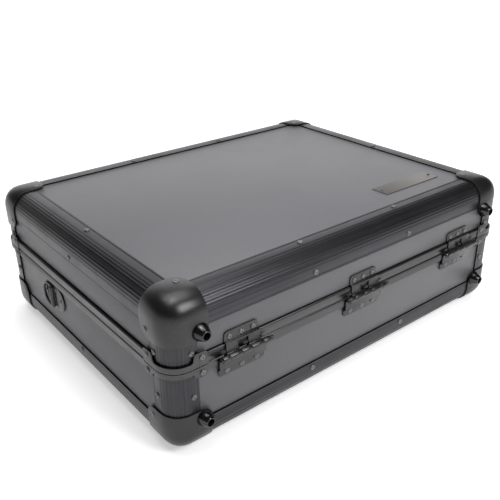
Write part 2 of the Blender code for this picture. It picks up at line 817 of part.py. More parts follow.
def strap_ring():
    """A D-shaped ring whose straight bar turns in the barrel."""
    out = ring_axis_out()
    half = RING_HEIGHT / 2 - RING_WIRE_RADIUS
    reach = RING_REACH - RING_WIRE_RADIUS
    corners = [Vector((out, 0, -half)), Vector((out, reach, -half)),
               Vector((out, reach, half)), Vector((out, 0, half))]
    small = RING_WIRE_RADIUS * 1.2
    path = rounded_loop(corners, [small, RING_BEND_RADIUS, RING_BEND_RADIUS, small])
    return tube(path, RING_WIRE_RADIUS, closed=True)


def rounded_loop(corners, radii):
    """A closed path with its own bend radius at each corner."""
    path = []
    count = len(corners)
    for index, radius in enumerate(radii):
        trio = [corners[index - 1], corners[index], corners[(index + 1) % count]]
        steps = ARC_STEPS if radius > 3 * RING_WIRE_RADIUS else 2
        path += bent_path(trio, radius, steps=steps)[1:-1]
    return path


# Latches


def front_frame(x):
    """Out of the front face, up from the parting line, and along the front."""
    origin = Vector((x, FRONT_Y, PARTING))
    return frame(origin, Vector((0, -1, 0)), UP, Vector((1, 0, 0)))


def latch_box():
    """A riveted catch box with two ears, and the pin between them that carries the hasp."""
    back = SHEET_BACK
    face = back + LATCH_SHEET
    top = -BASE_RIM_HEIGHT - GAP
    half = LATCH_PLATE_WIDTH / 2
    plate = block((back, top - LATCH_PLATE_HEIGHT, -half), (face, top, half))
    root = (back + face) / 2
    wide = LATCH_BOX_WIDTH / 2
    box = block((root, LATCH_BOX_TOP - LATCH_BOX_HEIGHT, -wide),
                (LATCH_BOX_OUT, LATCH_BOX_TOP, wide))
    soften_front(box, LATCH_BOX_OUT, LATCH_SHEET)
    axis = (HASP_AXIS_OUT, -HASP_AXIS_BELOW_PARTING)
    radius = HASP_KNUCKLE_RADIUS
    ear = [(root, axis[1] - radius)] + arc(axis, radius, -90, 90, 6) + [(root, axis[1] + radius)]
    near = HASP_WIDTH / 2 + GAP
    far = near + LATCH_EAR_WIDTH
    ears = [prism(ear, low, low + LATCH_EAR_WIDTH) for low in (near, -far)]
    pin = prism(circle(axis, HASP_PIN_RADIUS, 10), -(near + far) / 2, (near + far) / 2)
    return cut(union(plate, box, *ears, pin), block(*button_pocket()))


def soften_front(body, face, size):
    """Chamfer the edges round the face that looks out of the case."""
    edges = [edge for edge in body.edges
             if all(abs(vert.co.x - face) < GAP / 10 for vert in edge.verts)
             and edge.calc_face_angle() > math.radians(45)]
    bmesh.ops.bevel(body, geom=edges, offset=size, offset_type="OFFSET", segments=2,
                    profile=0.5, affect="EDGES")
    tidy(body)


def button_pocket():
    """Two corners of the pocket beside the hasp that the button slides in."""
    middle = LATCH_BOX_TOP - LATCH_BOX_HEIGHT / 2
    half = BUTTON_HEIGHT / 2 + GAP
    start = HASP_WIDTH / 2 + LATCH_SHEET
    end = start + BUTTON_WIDTH + BUTTON_TRAVEL + 2 * GAP
    return ((LATCH_BOX_OUT - BUTTON_POCKET_DEPTH, middle - half, start),
            (LATCH_BOX_OUT + BUTTON_POCKET_DEPTH, middle + half, end))


def latch_button():
    """The thumb button, at the end of its pocket that keeps the hasp shut."""
    low, high = button_pocket()
    top = LATCH_BOX_OUT + BUTTON_RAISE
    start = low[2] + GAP
    button = block((low[0] + GAP, low[1] + GAP, start),
                   (top, high[1] - GAP, start + BUTTON_WIDTH))
    soften_front(button, top, BUTTON_RAISE / 3)
    return button


def hasp():
    """A rolled-eye hasp, hanging open, with its nose and its finger tab at the far end."""
    half = HASP_THICKNESS / 2
    radius = HASP_KNUCKLE_RADIUS
    nose = HASP_AXIS_BELOW_PARTING + LEDGE_ABOVE_PARTING + GAP
    end = nose + LATCH_SHEET
    meet = math.degrees(math.asin(half / radius))
    outline = arc((0, 0), radius, -90 + meet, 270 - meet, 14)
    outline += [(-half, -end + half), (-half - HASP_TAB_LEAN, -end - HASP_TAB_LENGTH),
                (-HASP_TAB_LEAN, -end - HASP_TAB_LENGTH - half), (half, -end),
                (HASP_NOSE_OUT, -end), (HASP_NOSE_OUT, -nose), (half, -nose)]
    eye = circle((0, 0), HASP_PIN_RADIUS + PIN_PLAY, 12)
    return prism(outline, -HASP_WIDTH / 2, HASP_WIDTH / 2, holes=[eye])


def strike(x):
    """A ledge on the lid's closing profile, which the hasp's nose drops over."""
    half = STRIKE_WIDTH / 2
    sunk = RIM_PROUD - BRACKET_SINK
    low = RIM_PROUD
    high = LID_RIM_HEIGHT - RIM_PROUD / 2
    plate = block((sunk, low, -half), (sunk + LATCH_SHEET, high, half))
    half = LEDGE_WIDTH / 2
    ledge = block((RIM_PROUD, LEDGE_ABOVE_PARTING - LATCH_SHEET, -half),
                  (LEDGE_OUT, LEDGE_ABOVE_PARTING, half))
    return placed(union(plate, ledge), front_frame(x))


# Handle


def handle_plate():
    """A backing plate with a barrel near each end for the bail."""
    back = SHEET_BACK
    face = back + LATCH_SHEET
    axis = (HANDLE_AXIS_OUT, -HANDLE_AXIS_BELOW_PARTING)
    corner = HANDLE_PLATE_CORNER
    reach_x = HANDLE_PLATE_LENGTH / 2 - corner
    reach_y = HANDLE_PLATE_HEIGHT / 2 - corner
    outline = []
    for sign_x, sign_y, start in ((1, 1, 0), (-1, 1, 90), (-1, -1, 180), (1, -1, 270)):
        outline += arc((sign_x * reach_x, sign_y * reach_y + axis[1]), corner, start, start + 90, 4)
    flat_on_wall = frame((0, 0, 0), Vector((0, 0, 1)), Vector((0, 1, 0)), Vector((1, 0, 0)))
    plate = prism(outline, back, face, flat_on_wall)
    root = (back + face) / 2
    hump = [(root, axis[1] - HANDLE_BARREL_RADIUS)]
    hump += arc(axis, HANDLE_BARREL_RADIUS, -80, 80, 8)
    hump.append((root, axis[1] + HANDLE_BARREL_RADIUS))
    half = HANDLE_BARREL_LENGTH / 2
    barrels = [prism(hump, x * HANDLE_SPACING - half, x * HANDLE_SPACING + half) for x in (-1, 1)]
    reach = HANDLE_SPACING + HANDLE_BARREL_LENGTH
    bore = prism(circle(axis, HANDLE_WIRE_RADIUS + PIN_PLAY, 12), -reach, reach)
    return cut(union(plate, *barrels), bore)


def handle_bail():
    """The steel bail, hanging down, with its ends turned out into the barrels."""
    out = HANDLE_AXIS_OUT
    top = -HANDLE_AXIS_BELOW_PARTING
    end = HANDLE_SPACING + HANDLE_BARREL_LENGTH / 2
    arm = HANDLE_ARM_SPACING
    corners = [(out, top, -end), (out, top, -arm), (out, top - HANDLE_DROP, -arm),
               (out, top - HANDLE_DROP, arm), (out, top, arm), (out, top, end)]
    return tube(bent_path(corners, HANDLE_BEND_RADIUS, steps=4), HANDLE_WIRE_RADIUS)


def handle_grip():
    """An oval grip moulded round the bail's long bar."""
    centre = (HANDLE_AXIS_OUT, -HANDLE_AXIS_BELOW_PARTING - HANDLE_DROP)
    outline = [(centre[0] + x * GRIP_THICKNESS / 2, centre[1] + y * GRIP_DEPTH / 2)
               for x, y in circle((0, 0), 1, ROUND_SIDES)]
    bore = circle(centre, HANDLE_WIRE_RADIUS + GAP, 10)
    return prism(outline, -GRIP_LENGTH / 2, GRIP_LENGTH / 2, holes=[bore])


# Foam


def foam_pad(low, thickness):
    """A pad that fills the case from wall to wall."""
    inset = INNER_FACE + GAP
    half_x = CASE_LENGTH / 2 - inset
    half_y = CASE_DEPTH / 2 - inset
    return block((-half_x, SHELL_Y - half_y, low), (half_x, SHELL_Y + half_y, low + thickness))


# Assembly


def build_base():
    """The box that stays on the floor when the lid opens."""
    add_piece("base_bottom_panel", flat_panel(BASE_BOTTOM + PANEL_BACK), "black_laminate")
    low = BASE_BOTTOM + SLOT_BOTTOM + GAP
    high = PARTING - RIM_WEB_TOP - GAP
    for side in SIDES:
        add_piece(f"base_{side}_panel", side_panel(side, low, high), "black_laminate")
        add_piece(f"base_{side}_edge", edge_extrusion(side, BASE_BOTTOM, UP), "black_anodised")
    for corner in CORNERS:
        post = corner_post(corner, BASE_BOTTOM + EDGE_STOP, PARTING - GAP / 2)
        add_piece(f"base_{corner}_post", post, "black_anodised")
        add_piece(f"base_{corner}_ball_corner", corner_cap(corner, BASE_BOTTOM, UP), "black_steel")
    bracket = rim_bracket(BASE_STRAP_HEIGHT, BASE_EAR_HEIGHT, BASE_EAR_FILLET)
    closing = closing_frame(BASE_RIM_HEIGHT, -UP, True, bracket)
    add_piece("base_closing_frame", closing, "black_anodised")
    foam = foam_pad(BASE_BOTTOM + INNER_FACE + GAP, FLOOR_FOAM_THICKNESS)
    add_piece("base_foam_pad", foam, "charcoal_foam")


def build_lid(pivot):
    """Everything of the lid but its hinge leaves."""
    place = pivot.location.copy()

    def lid_piece(name, bm, finish):
        add_piece(name, bm, finish, pivot=place, parent=pivot)

    lid_piece("lid_top_panel", flat_panel(LID_TOP - PANEL_INSET), "black_laminate")
    low = PARTING + RIM_WEB_TOP + GAP
    high = LID_TOP - SLOT_BOTTOM - GAP
    for side in SIDES:
        lid_piece(f"lid_{side}_panel", side_panel(side, low, high), "black_laminate")
        lid_piece(f"lid_{side}_edge", edge_extrusion(side, LID_TOP, -UP), "black_anodised")
    for corner in CORNERS:
        post = corner_post(corner, PARTING + GAP / 2, LID_TOP - EDGE_STOP)
        lid_piece(f"lid_{corner}_post", post, "black_anodised")
        lid_piece(f"lid_{corner}_ball_corner", corner_cap(corner, LID_TOP, -UP), "black_steel")
    bracket = rim_bracket(LID_STRAP_HEIGHT, LID_EAR_HEIGHT, LID_EAR_FILLET)
    closing = closing_frame(LID_RIM_HEIGHT, UP, False, bracket)
    strikes = [strike(x * LATCH_X) for x in (-1, 1)]
    lid_piece("lid_closing_frame", union(closing, *strikes), "black_anodised")
    foam = foam_pad(LID_TOP - INNER_FACE - GAP - LID_FOAM_THICKNESS, LID_FOAM_THICKNESS)
    lid_piece("lid_foam_pad", foam, "charcoal_foam")


def build_hinges(pivot):
    """Three hinges: the lower leaf and the pin stay on the base, the upper leaf turns."""
    place = pivot.location.copy()
    to_axis = Matrix.Translation((HINGE_AXIS_OUT, 0, 0))
    for name, sign in (("left", -1), ("centre", 0), ("right", 1)):
        x = sign * HINGE_X
        lower = placed(lower_leaf(), hinge_frame(x, -UP))
        add_piece(f"hinge_{name}_lower_leaf", lower, "black_steel")
        pin = placed(hinge_pin(), hinge_frame(x, UP) @ to_axis)
        add_piece(f"hinge_{name}_pin", pin, "black_steel")
        upper = placed(upper_leaf(), hinge_frame(x, UP))
        add_piece(f"hinge_{name}_upper_leaf", upper, "black_steel", pivot=place, parent=pivot)


def build_strap_rings():
    """A plate and a ring on each short side, the ring lying against the wall."""
    for side, sign in (("right", 1), ("left", -1)):
        place = strap_frame(sign)
        add_piece(f"strap_plate_{side}", placed(strap_plate(), place), "black_steel")
        pivot = place @ Vector((ring_axis_out(), 0, 0))
        add_piece(f"strap_ring_{side}", placed(strap_ring(), place), "black_steel", pivot=pivot)


def build_latches():
    """A catch box with its hanging hasp and its sliding button, at each end of the front."""
    to_axis = Matrix.Translation((HASP_AXIS_OUT, -HASP_AXIS_BELOW_PARTING, 0))
    for side, sign in (("left", -1), ("right", 1)):
        place = front_frame(sign * LATCH_X)
        add_piece(f"latch_{side}_box", placed(latch_box(), place), "black_steel")
        hang = place @ to_axis
        add_piece(f"latch_{side}_hasp", placed(hasp(), hang), "black_steel",
                  pivot=hang.to_translation())
        add_piece(f"latch_{side}_button", placed(latch_button(), place), "black_steel")


def build_handle():
    """The bail and its grip turn together in the barrels of the plate."""
    place = front_frame(0)
    add_piece("handle_plate", placed(handle_plate(), place), "black_steel")
    pivot = place @ Vector((HANDLE_AXIS_OUT, -HANDLE_AXIS_BELOW_PARTING, 0))
    carrier = add_pivot("handle_pivot", pivot)
    add_piece("handle_bail", placed(handle_bail(), place), "black_steel", pivot=pivot,
              parent=carrier)
    add_piece("handle_grip", placed(handle_grip(), place), "black_rubber", pivot=pivot,
              parent=carrier)


def main():
    clear_scene()
    lid_pivot = add_pivot("lid_pivot", Vector((0, REAR_Y + HINGE_AXIS_OUT, PARTING)))
    build_base()
    build_lid(lid_pivot)
    build_hinges(lid_pivot)
    build_strap_rings()
    build_latches()
    build_handle()


main()
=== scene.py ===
"""DJ case: the looks of a black equipment case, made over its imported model.

The file is run as a script. Each operator makes one group of pieces, or gives one group
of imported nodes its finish, and the last one makes the floor, the lights and the camera.
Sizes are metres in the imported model's frame: X runs along the case, +Y points to the
hinges, Z points up, and the case lies closed on the floor.
"""

import math

import bmesh
import bpy
from bpy.props import FloatProperty, FloatVectorProperty, PointerProperty
from bpy.types import Operator, Panel, PropertyGroup
from mathutils import Matrix, Vector


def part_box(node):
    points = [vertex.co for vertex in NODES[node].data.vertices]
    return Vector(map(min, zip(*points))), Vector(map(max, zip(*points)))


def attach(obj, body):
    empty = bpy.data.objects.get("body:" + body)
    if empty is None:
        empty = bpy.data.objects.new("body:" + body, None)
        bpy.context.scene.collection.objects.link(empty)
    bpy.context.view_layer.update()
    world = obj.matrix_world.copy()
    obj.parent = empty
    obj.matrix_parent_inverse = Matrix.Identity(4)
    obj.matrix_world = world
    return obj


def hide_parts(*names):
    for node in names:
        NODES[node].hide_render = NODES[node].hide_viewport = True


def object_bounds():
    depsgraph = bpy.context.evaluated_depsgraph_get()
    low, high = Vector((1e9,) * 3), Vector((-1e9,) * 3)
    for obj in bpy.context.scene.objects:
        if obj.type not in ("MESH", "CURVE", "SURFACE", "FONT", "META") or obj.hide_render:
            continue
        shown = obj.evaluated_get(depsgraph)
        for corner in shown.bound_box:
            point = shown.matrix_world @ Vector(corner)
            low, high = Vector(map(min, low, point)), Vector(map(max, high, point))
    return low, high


bl_info = {
    "name": "DJ Case Looks",
    "version": (1, 0, 0),
    "blender": (4, 5, 0),
    "location": "3D View > Sidebar > DJ Case",
    "description": "Finishes, rivets, foam and studio for a black equipment case",
    "category": "Object",
}

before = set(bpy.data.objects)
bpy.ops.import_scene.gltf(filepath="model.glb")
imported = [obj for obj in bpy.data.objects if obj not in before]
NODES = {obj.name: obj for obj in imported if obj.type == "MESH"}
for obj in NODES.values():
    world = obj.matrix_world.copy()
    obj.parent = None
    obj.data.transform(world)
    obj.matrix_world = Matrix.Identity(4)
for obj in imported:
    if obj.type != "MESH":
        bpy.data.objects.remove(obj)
CAD_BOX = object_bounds()

# Planes of the shell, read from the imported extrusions, posts and lid panel
LID_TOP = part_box("lid_rear_edge")[1].z
BASE_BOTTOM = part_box("base_rear_edge")[0].z
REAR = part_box("lid_rear_edge")[1].y
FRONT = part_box("lid_front_edge")[0].y
HALF_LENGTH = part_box("lid_right_edge")[1].x
PARTING = (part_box("lid_rear_left_post")[0].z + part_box("base_rear_left_post")[1].z) / 2
MIDDLE = (REAR + FRONT) / 2
HALF_DEPTH = (REAR - FRONT) / 2
CAP_PROUD = CAD_BOX[1].z - LID_TOP
PANEL_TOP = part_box("lid_top_panel")[1].z
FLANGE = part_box("lid_rear_edge")[1].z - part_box("lid_rear_edge")[0].z

# The closing profile: its rims' outer lines, how far its brackets stand off the shell,
# and how far off the shell a point is on a bracket and not on a rim
LID_RIM_TOP = PARTING + 0.0120
BASE_RIM_LOW = PARTING - 0.0115
BRACKET_PROUD = 0.0028
BRACKET_LIMIT = 0.0017

# Each side's outward direction, the direction along it and its middle on the floor plane
UP = Vector((0, 0, 1))
SIDES = {
    "rear": (Vector((0, 1, 0)), Vector((1, 0, 0)), Vector((0, REAR, 0))),
    "front": (Vector((0, -1, 0)), Vector((1, 0, 0)), Vector((0, FRONT, 0))),
    "left": (Vector((-1, 0, 0)), Vector((0, 1, 0)), Vector((-HALF_LENGTH, MIDDLE, 0))),
    "right": (Vector((1, 0, 0)), Vector((0, 1, 0)), Vector((HALF_LENGTH, MIDDLE, 0))),
}

# Levels of the rivets near the parting line, measured up from it
POST_RIVETS = {"lid": 0.0173, "base": -0.0345}
BRACKET_RIVETS = {"lid": 0.0107, "base": -0.0075}
LEAF_RIVETS = {"lid": 0.0181, "base": -0.0204}
LEAF_SPACING = {"lid": 0.015, "base": 0.019}

# Places of the plates' rivets, along and up from each plate's middle
STRAP_RIVETS = ((-0.0195, 0.0), (0.0195, 0.0), (-0.009, -0.0115), (-0.009, 0.0115),
                (0.009, -0.0115), (0.009, 0.0115))
HANDLE_RIVETS = ((-0.0895, -0.009), (-0.0895, 0.009), (0.0895, -0.009), (0.0895, 0.009))

# Places of a latch box's rivets: off its middle, and in from its top or its bottom
LATCH_TOP_RIVETS = (0.0205, 0.0042)
LATCH_LOW_RIVETS = (0.0165, 0.0052)

# Softened edges: the width of the rounding, and angles in degrees between faces
SOFT_EDGE = 0.0003
SOFT_RIM = 0.00025
GROOVE_ANGLE = 75
BALL_ANGLE = 28
PIN_ANGLE = 35
ROD_ANGLE = 50
FLAT_ANGLE = 0.4

# The photograph's camera, fitted to the case's edges; angles in degrees
CAMERA_AZIMUTH = 141.65
CAMERA_ELEVATION = 26.37
CAMERA_ROLL = -0.81
CAMERA_TARGET = Vector((0.0217, 0.02385, 0.0918))
CAMERA_DISTANCE = 0.8972

# Where the backdrop's sides and top and the horizon fade, as parts of a unit direction
BACKDROP_SIDES = (0.62, 0.85)
BACKDROP_TOP = (0.42, 0.62)
HORIZON = (0.03, 0.12)


def colour_setting(name, description, default):
    return FloatVectorProperty(name=name, description=description, default=default,
                               subtype="COLOR", min=0, max=1)


def share_setting(name, description, default, low=0, high=1):
    return FloatProperty(name=name, description=description, default=default,
                         subtype="FACTOR", min=low, max=high)


def length_setting(name, description, default, low, high):
    return FloatProperty(name=name, description=description, default=default,
                         subtype="DISTANCE", unit="LENGTH", min=low, max=high)


def power_setting(name, description, default):
    return FloatProperty(name=name, description=description, default=default,
                         subtype="POWER", unit="POWER", min=0, max=500)


class DjCaseFinish(PropertyGroup):
    """Colours and gloss of the case's surfaces."""

    laminate: colour_setting(
        "Panel laminate", "Colour of the laminated panels", (0.112, 0.1095, 0.1190))
    laminate_roughness: share_setting(
        "Panel roughness", "Roughness of the panel laminate", 0.46)
    anodised: colour_setting(
        "Extrusion anodising", "Colour of the anodised extrusions", (0.0455, 0.0443, 0.0490))
    anodised_roughness: share_setting(
        "Extrusion roughness", "Roughness of the anodised extrusions", 0.33)
    powder_coat: colour_setting(
        "Ball corner coat", "Colour of the coat on the ball corners", (0.048, 0.048, 0.0485))
    powder_roughness: share_setting(
        "Ball corner roughness", "Roughness of the coat on the ball corners", 0.32)
    hardware: colour_setting(
        "Hardware paint", "Colour of the hinges, rings, latches and handle",
        (0.053, 0.0522, 0.053))
    hardware_roughness: share_setting(
        "Hardware roughness", "Roughness of the hardware paint", 0.26)
    closing_profile: colour_setting(
        "Closing profile", "Colour of the closing profile and its brackets",
        (0.072, 0.070, 0.071))
    rivet: colour_setting("Rivet", "Colour of the rivet heads", (0.150, 0.144, 0.138))
    badge: colour_setting(
        "Bare badge plate", "Colour of the bare plate on the lid", (0.110, 0.101, 0.095))
    rubber: colour_setting("Grip rubber", "Colour of the moulded grip", (0.022, 0.022, 0.023))
    foam: colour_setting("Foam", "Colour of the foam inside", (0.050, 0.050, 0.054))


class DjCaseRivets(PropertyGroup):
    """Sizes and places of the blind rivets."""

    radius: length_setting("Head radius", "Radius of a rivet's head", 0.0033, 0.001, 0.01)
    height: length_setting(
        "Head height", "How far a rivet's head stands off its surface", 0.0016, 0.0003, 0.003)
    cap_height: length_setting(
        "Cap rivet height", "Head height on the ball corners' outer faces",
        0.0010, 0.0002, 0.003)
    mandrel: length_setting(
        "Mandrel radius", "Radius of the hole in the middle of a head", 0.0007, 0.0003, 0.003)
    flange_inset: length_setting(
        "Flange inset", "Distance of the flange rivets from the case's edge",
        0.026, 0.01, 0.05)
    long_side_offset: length_setting(
        "Long side offset", "Distance of the long sides' rivets from the middle",
        0.0765, 0.0, 0.2)
    corner_inset: length_setting(
        "Corner inset", "Distance of a ball corner's rivets from the edges",
        0.0365, 0.02, 0.06)


class DjCaseBadge(PropertyGroup):
    """The bare plate on the lid."""

    length: length_setting("Length", "Length of the plate along the case", 0.102, 0.02, 0.2)
    width: length_setting("Width", "Width of the plate", 0.026, 0.01, 0.1)
    thickness: length_setting("Thickness", "Thickness of the plate", 0.0010, 0.0003, 0.003)
    middle_x: length_setting(
        "Middle along the case", "Where the plate's middle is along the case",
        -0.1540, -0.25, 0.25)
    middle_y: length_setting(
        "Middle across the case", "Where the plate's middle is across the case",
        0.1345, -0.2, 0.2)
    pin_spacing: length_setting(
        "Pin spacing", "Distance between the plate's two pins", 0.0935, 0.01, 0.2)


class DjCaseFoam(PropertyGroup):
    """The foam pads inside."""

    wave: length_setting(
        "Wave length", "Distance between the lid foam's peaks", 0.0300, 0.01, 0.1)
    wave_share: share_setting(
        "Wave depth", "Share of the lid foam's thickness that its waves take", 0.55, 0.1, 0.9)
    edge_radius: length_setting(
        "Edge radius", "Rounding of the pads' free edges", 0.0030, 0.0005, 0.01)


class DjCaseStudio(PropertyGroup):
    """The floor, the lights and the camera."""

    floor: colour_setting("Floor", "Colour of the studio floor", (0.93, 0.93, 0.93))
    backdrop: FloatProperty(
        name="Backdrop", description="Strength of the pale backdrop behind the case",
        default=1.48, min=0, max=5)
    backdrop_side: FloatVectorProperty(
        name="Backdrop side", description="Level direction towards the middle of the backdrop",
        default=(-0.53, -0.848, 0.0), min=-1, max=1)
    dim: FloatProperty(
        name="Dim light", description="Strength of the light from the rest of the studio",
        default=0.08, min=0, max=5)
    floor_glow: FloatProperty(
        name="Floor glow", description="How much paler the floor looks than its shadows make it",
        default=0.48, min=0, max=2)
    key: power_setting("Key light", "Power of the large soft box overhead", 18.5)
    spot: power_setting("Spot light", "Power of the small soft box overhead", 1.7)
    side: power_setting("Side light", "Power of the soft box at the hinge side", 8.0)
    focal_length: FloatProperty(
        name="Focal length", description="Focal length for a sensor 36 mm wide, in millimetres",
        default=48.02, min=10, max=200)


# Mesh helpers


def axes_matrix(along, across, outward, origin):
    """The matrix with these axes as its columns, moved to the origin."""
    matrix = Matrix((along, across, outward)).transposed().to_4x4()
    matrix.translation = origin
    return matrix


def face_place(side, along, level, proud=0.0):
    """A place on a side of the case: along it from its middle, at a level above the floor."""
    outward, direction, middle = SIDES[side]
    origin = middle + direction * along + UP * level + outward * proud
    return axes_matrix(direction, outward.cross(direction), outward, origin)


def flat_place(x, y, level, facing=1):
    """A place on a level face that looks up or down."""
    along, outward = Vector((1, 0, 0)), UP * facing
    return axes_matrix(along, outward.cross(along), outward, Vector((x, y, level)))


def dome_profile(radius, height, start=0.0, drop=1.0):
    """Points down a quarter round, from a start radius out to the full radius."""
    turns = [math.pi / 2 * step / 5 for step in range(1, 6)]
    return [(start + (radius - start) * math.sin(turn),
             height * (1 - drop + drop * math.cos(turn))) for turn in turns]


def join_rings(bm, rings):
    """Join each ring of points to the next by faces; a ring of one point is a tip."""
    steps = max(len(ring) for ring in rings)
    for first, second in zip(rings, rings[1:]):
        for step in range(steps):
            following = (step + 1) % steps
            corners = [first[step % len(first)], first[following % len(first)],
                       second[following % len(second)], second[step % len(second)]]
            unique = list(dict.fromkeys(corners))
            if len(unique) > 2:
                bm.faces.new(unique)


def add_turned(bm, profile, matrix, steps=20):
    """Add a turned solid: (radius, height) points spun about the place's outward axis."""
    rings = []
    for radius, height in profile:
        ring = []
        for step in range(steps if radius > 0 else 1):
            angle = 2 * math.pi * step / steps
            point = Vector((radius * math.cos(angle), radius * math.sin(angle), height))
            ring.append(bm.verts.new(matrix @ point))
        rings.append(ring)
    join_rings(bm, rings)


def add_rivet(bm, matrix, rivets, wide=1.0, tall=1.0, hole=1.0):
    """Add a blind rivet's domed head with the hole that its mandrel leaves."""
    radius, height, mandrel = rivets.radius * wide, rivets.height * tall, rivets.mandrel * hole
    lip = mandrel * 0.25
    rim = mandrel + 2 * lip
    root = 0.0003
    profile = [(0, height * 0.30), (mandrel * 0.55, height * 0.38),
               (mandrel * 0.70, height * 0.20), (mandrel, height * 0.25),
               (mandrel + lip, height * 0.97), (rim, height)]
    profile += dome_profile(radius, height, start=rim, drop=0.82)
    profile.append((radius, -root))
    add_turned(bm, profile, matrix)


def new_object(name, data):
    """A new object of the scene."""
    item = bpy.data.objects.new(name, data)
    bpy.context.scene.collection.objects.link(item)
    return item


def new_mesh(name, bm, material):
    """The bmesh as a mesh of this material."""
    mesh = bpy.data.meshes.new(name)
    bm.to_mesh(mesh)
    bm.free()
    mesh.materials.append(material)
    return mesh


def make_piece(name, bm, material, body, angle=35):
    """Turn a bmesh into a named piece that rides on a body."""
    bmesh.ops.recalc_face_normals(bm, faces=bm.faces)
    mesh = new_mesh(name, bm, material)
    mesh.shade_smooth()
    mesh.set_sharp_from_angle(angle=math.radians(angle))
    piece = new_object(name, mesh)
    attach(piece, body)
    return piece


# Node helpers


def new_group(name, inputs, outputs):
    """A shader node group with named sockets; inputs have (name, type, default)."""
    tree = bpy.data.node_groups.new(name, "ShaderNodeTree")
    tree.interface.new_socket(name="Vector", in_out="INPUT", socket_type="NodeSocketVector")
    for socket_name, kind, default in inputs:
        socket = tree.interface.new_socket(name=socket_name, in_out="INPUT", socket_type=kind)
        socket.default_value = default
    for socket_name in outputs:
        tree.interface.new_socket(name=socket_name, in_out="OUTPUT",
                                  socket_type="NodeSocketFloat")
    entry = tree.nodes.new("NodeGroupInput")
    leave = tree.nodes.new("NodeGroupOutput")
    return tree, entry.outputs, leave.inputs


def feed(tree, target, value):
    """Join a socket to an input, or set the input to a value."""
    if isinstance(value, bpy.types.NodeSocket):
        tree.links.new(value, target)
    else:
        target.default_value = value


def add_node(tree, kind, **settings):
    """Add a node with these inputs, each a socket or a value."""
    node = tree.nodes.new(kind)
    for key, value in settings.items():
        feed(tree, node.inputs[key], value)
    return node


def operate(tree, kind, operation, operands):
    """The outputs of a Math or Vector Math node; each operand is a socket or a value."""
    node = tree.nodes.new(kind)
    node.operation = operation
    for target, operand in zip(node.inputs, operands):
        feed(tree, target, operand)
    return node.outputs


def math_node(tree, operation, *operands):
    """A Math node's result."""
    return operate(tree, "ShaderNodeMath", operation, operands)["Value"]


def vector_node(tree, operation, *operands, result="Vector"):
    """A Vector Math node's result."""
    return operate(tree, "ShaderNodeVectorMath", operation, operands)[result]


def span_node(tree, value, low, high, out_low=0.0, out_high=1.0):
    """A value brought smoothly from one range to another and held there."""
    node = add_node(tree, "ShaderNodeMapRange", **{
        "Value": value, "From Min": low, "From Max": high, "To Min": out_low,
        "To Max": out_high})
    node.interpolation_type = "SMOOTHSTEP"
    return node.outputs["Result"]


def from_middle(tree, place):
    """The X, Y and Z of a place, measured from the shell's middle line."""
    centred = vector_node(tree, "SUBTRACT", place, (0.0, MIDDLE, 0.0))
    return add_node(tree, "ShaderNodeSeparateXYZ", Vector=centred).outputs


def build_grain(name):
    """Fine grain and a slow drift; the stretch draws the grain out along a direction."""
    tree, entry, leave = new_group(
        name, [("Scale", "NodeSocketFloat", 1500.0),
               ("Stretch", "NodeSocketVector", (1.0, 1.0, 1.0))], ["Grain", "Drift"])
    drawn = vector_node(tree, "MULTIPLY", entry["Vector"], entry["Stretch"])
    fine = add_node(tree, "ShaderNodeTexNoise", Vector=drawn, Scale=entry["Scale"],
                    Detail=3.0, Roughness=0.6)
    slow = add_node(tree, "ShaderNodeTexNoise", Vector=entry["Vector"], Scale=11.0,
                    Detail=4.0, Roughness=0.55)
    feed(tree, leave["Grain"], fine.outputs["Fac"])
    feed(tree, leave["Drift"], slow.outputs["Fac"])
    return tree


def build_marks(name):
    """Handling marks: short fine scratches, and smudges that dull the gloss."""
    tree, entry, leave = new_group(
        name, [("Amount", "NodeSocketFloat", 0.5)], ["Scratches", "Smudges"])
    turned = add_node(tree, "ShaderNodeMapping", Vector=entry["Vector"],
                      Rotation=(0.5, 0.35, 0.6), Scale=(14.0, 420.0, 140.0))
    lines = add_node(tree, "ShaderNodeTexNoise", Vector=turned.outputs["Vector"], Scale=1.0,
                     Detail=1.0)
    off = math_node(tree, "ABSOLUTE", math_node(tree, "SUBTRACT", lines.outputs["Fac"], 0.5))
    thin = span_node(tree, off, 0.0, 0.012, 1.0, 0.0)
    where = add_node(tree, "ShaderNodeTexNoise", Vector=entry["Vector"], Scale=26.0, Detail=2.0)
    patches = span_node(tree, where.outputs["Fac"], 0.58, 0.70)
    scratches = math_node(tree, "MULTIPLY", thin, patches)
    feed(tree, leave["Scratches"], math_node(tree, "MULTIPLY", scratches, entry["Amount"]))
    smear = add_node(tree, "ShaderNodeTexNoise", Vector=entry["Vector"], Scale=19.0,
                     Detail=5.0, Roughness=0.65)
    smudges = span_node(tree, smear.outputs["Fac"], 0.42, 0.72)
    feed(tree, leave["Smudges"], math_node(tree, "MULTIPLY", smudges, entry["Amount"]))
    return tree


def build_shell_distance(name):
    """How far a point stands outside the shell's upright walls, with their round corners."""
    tree, entry, leave = new_group(name, [("Radius", "NodeSocketFloat", 0.022)], ["Distance"])
    part = from_middle(tree, entry["Vector"])
    squares = []
    for axis, half in (("X", HALF_LENGTH), ("Y", HALF_DEPTH)):
        past = math_node(tree, "SUBTRACT", math_node(tree, "ABSOLUTE", part[axis]), half)
        past = math_node(tree, "ADD", past, entry["Radius"])
        reach = math_node(tree, "MAXIMUM", past, 0.0)
        squares.append(math_node(tree, "MULTIPLY", reach, reach))
    length = math_node(tree, "SQRT", math_node(tree, "ADD", *squares))
    feed(tree, leave["Distance"], math_node(tree, "SUBTRACT", length, entry["Radius"]))
    return tree


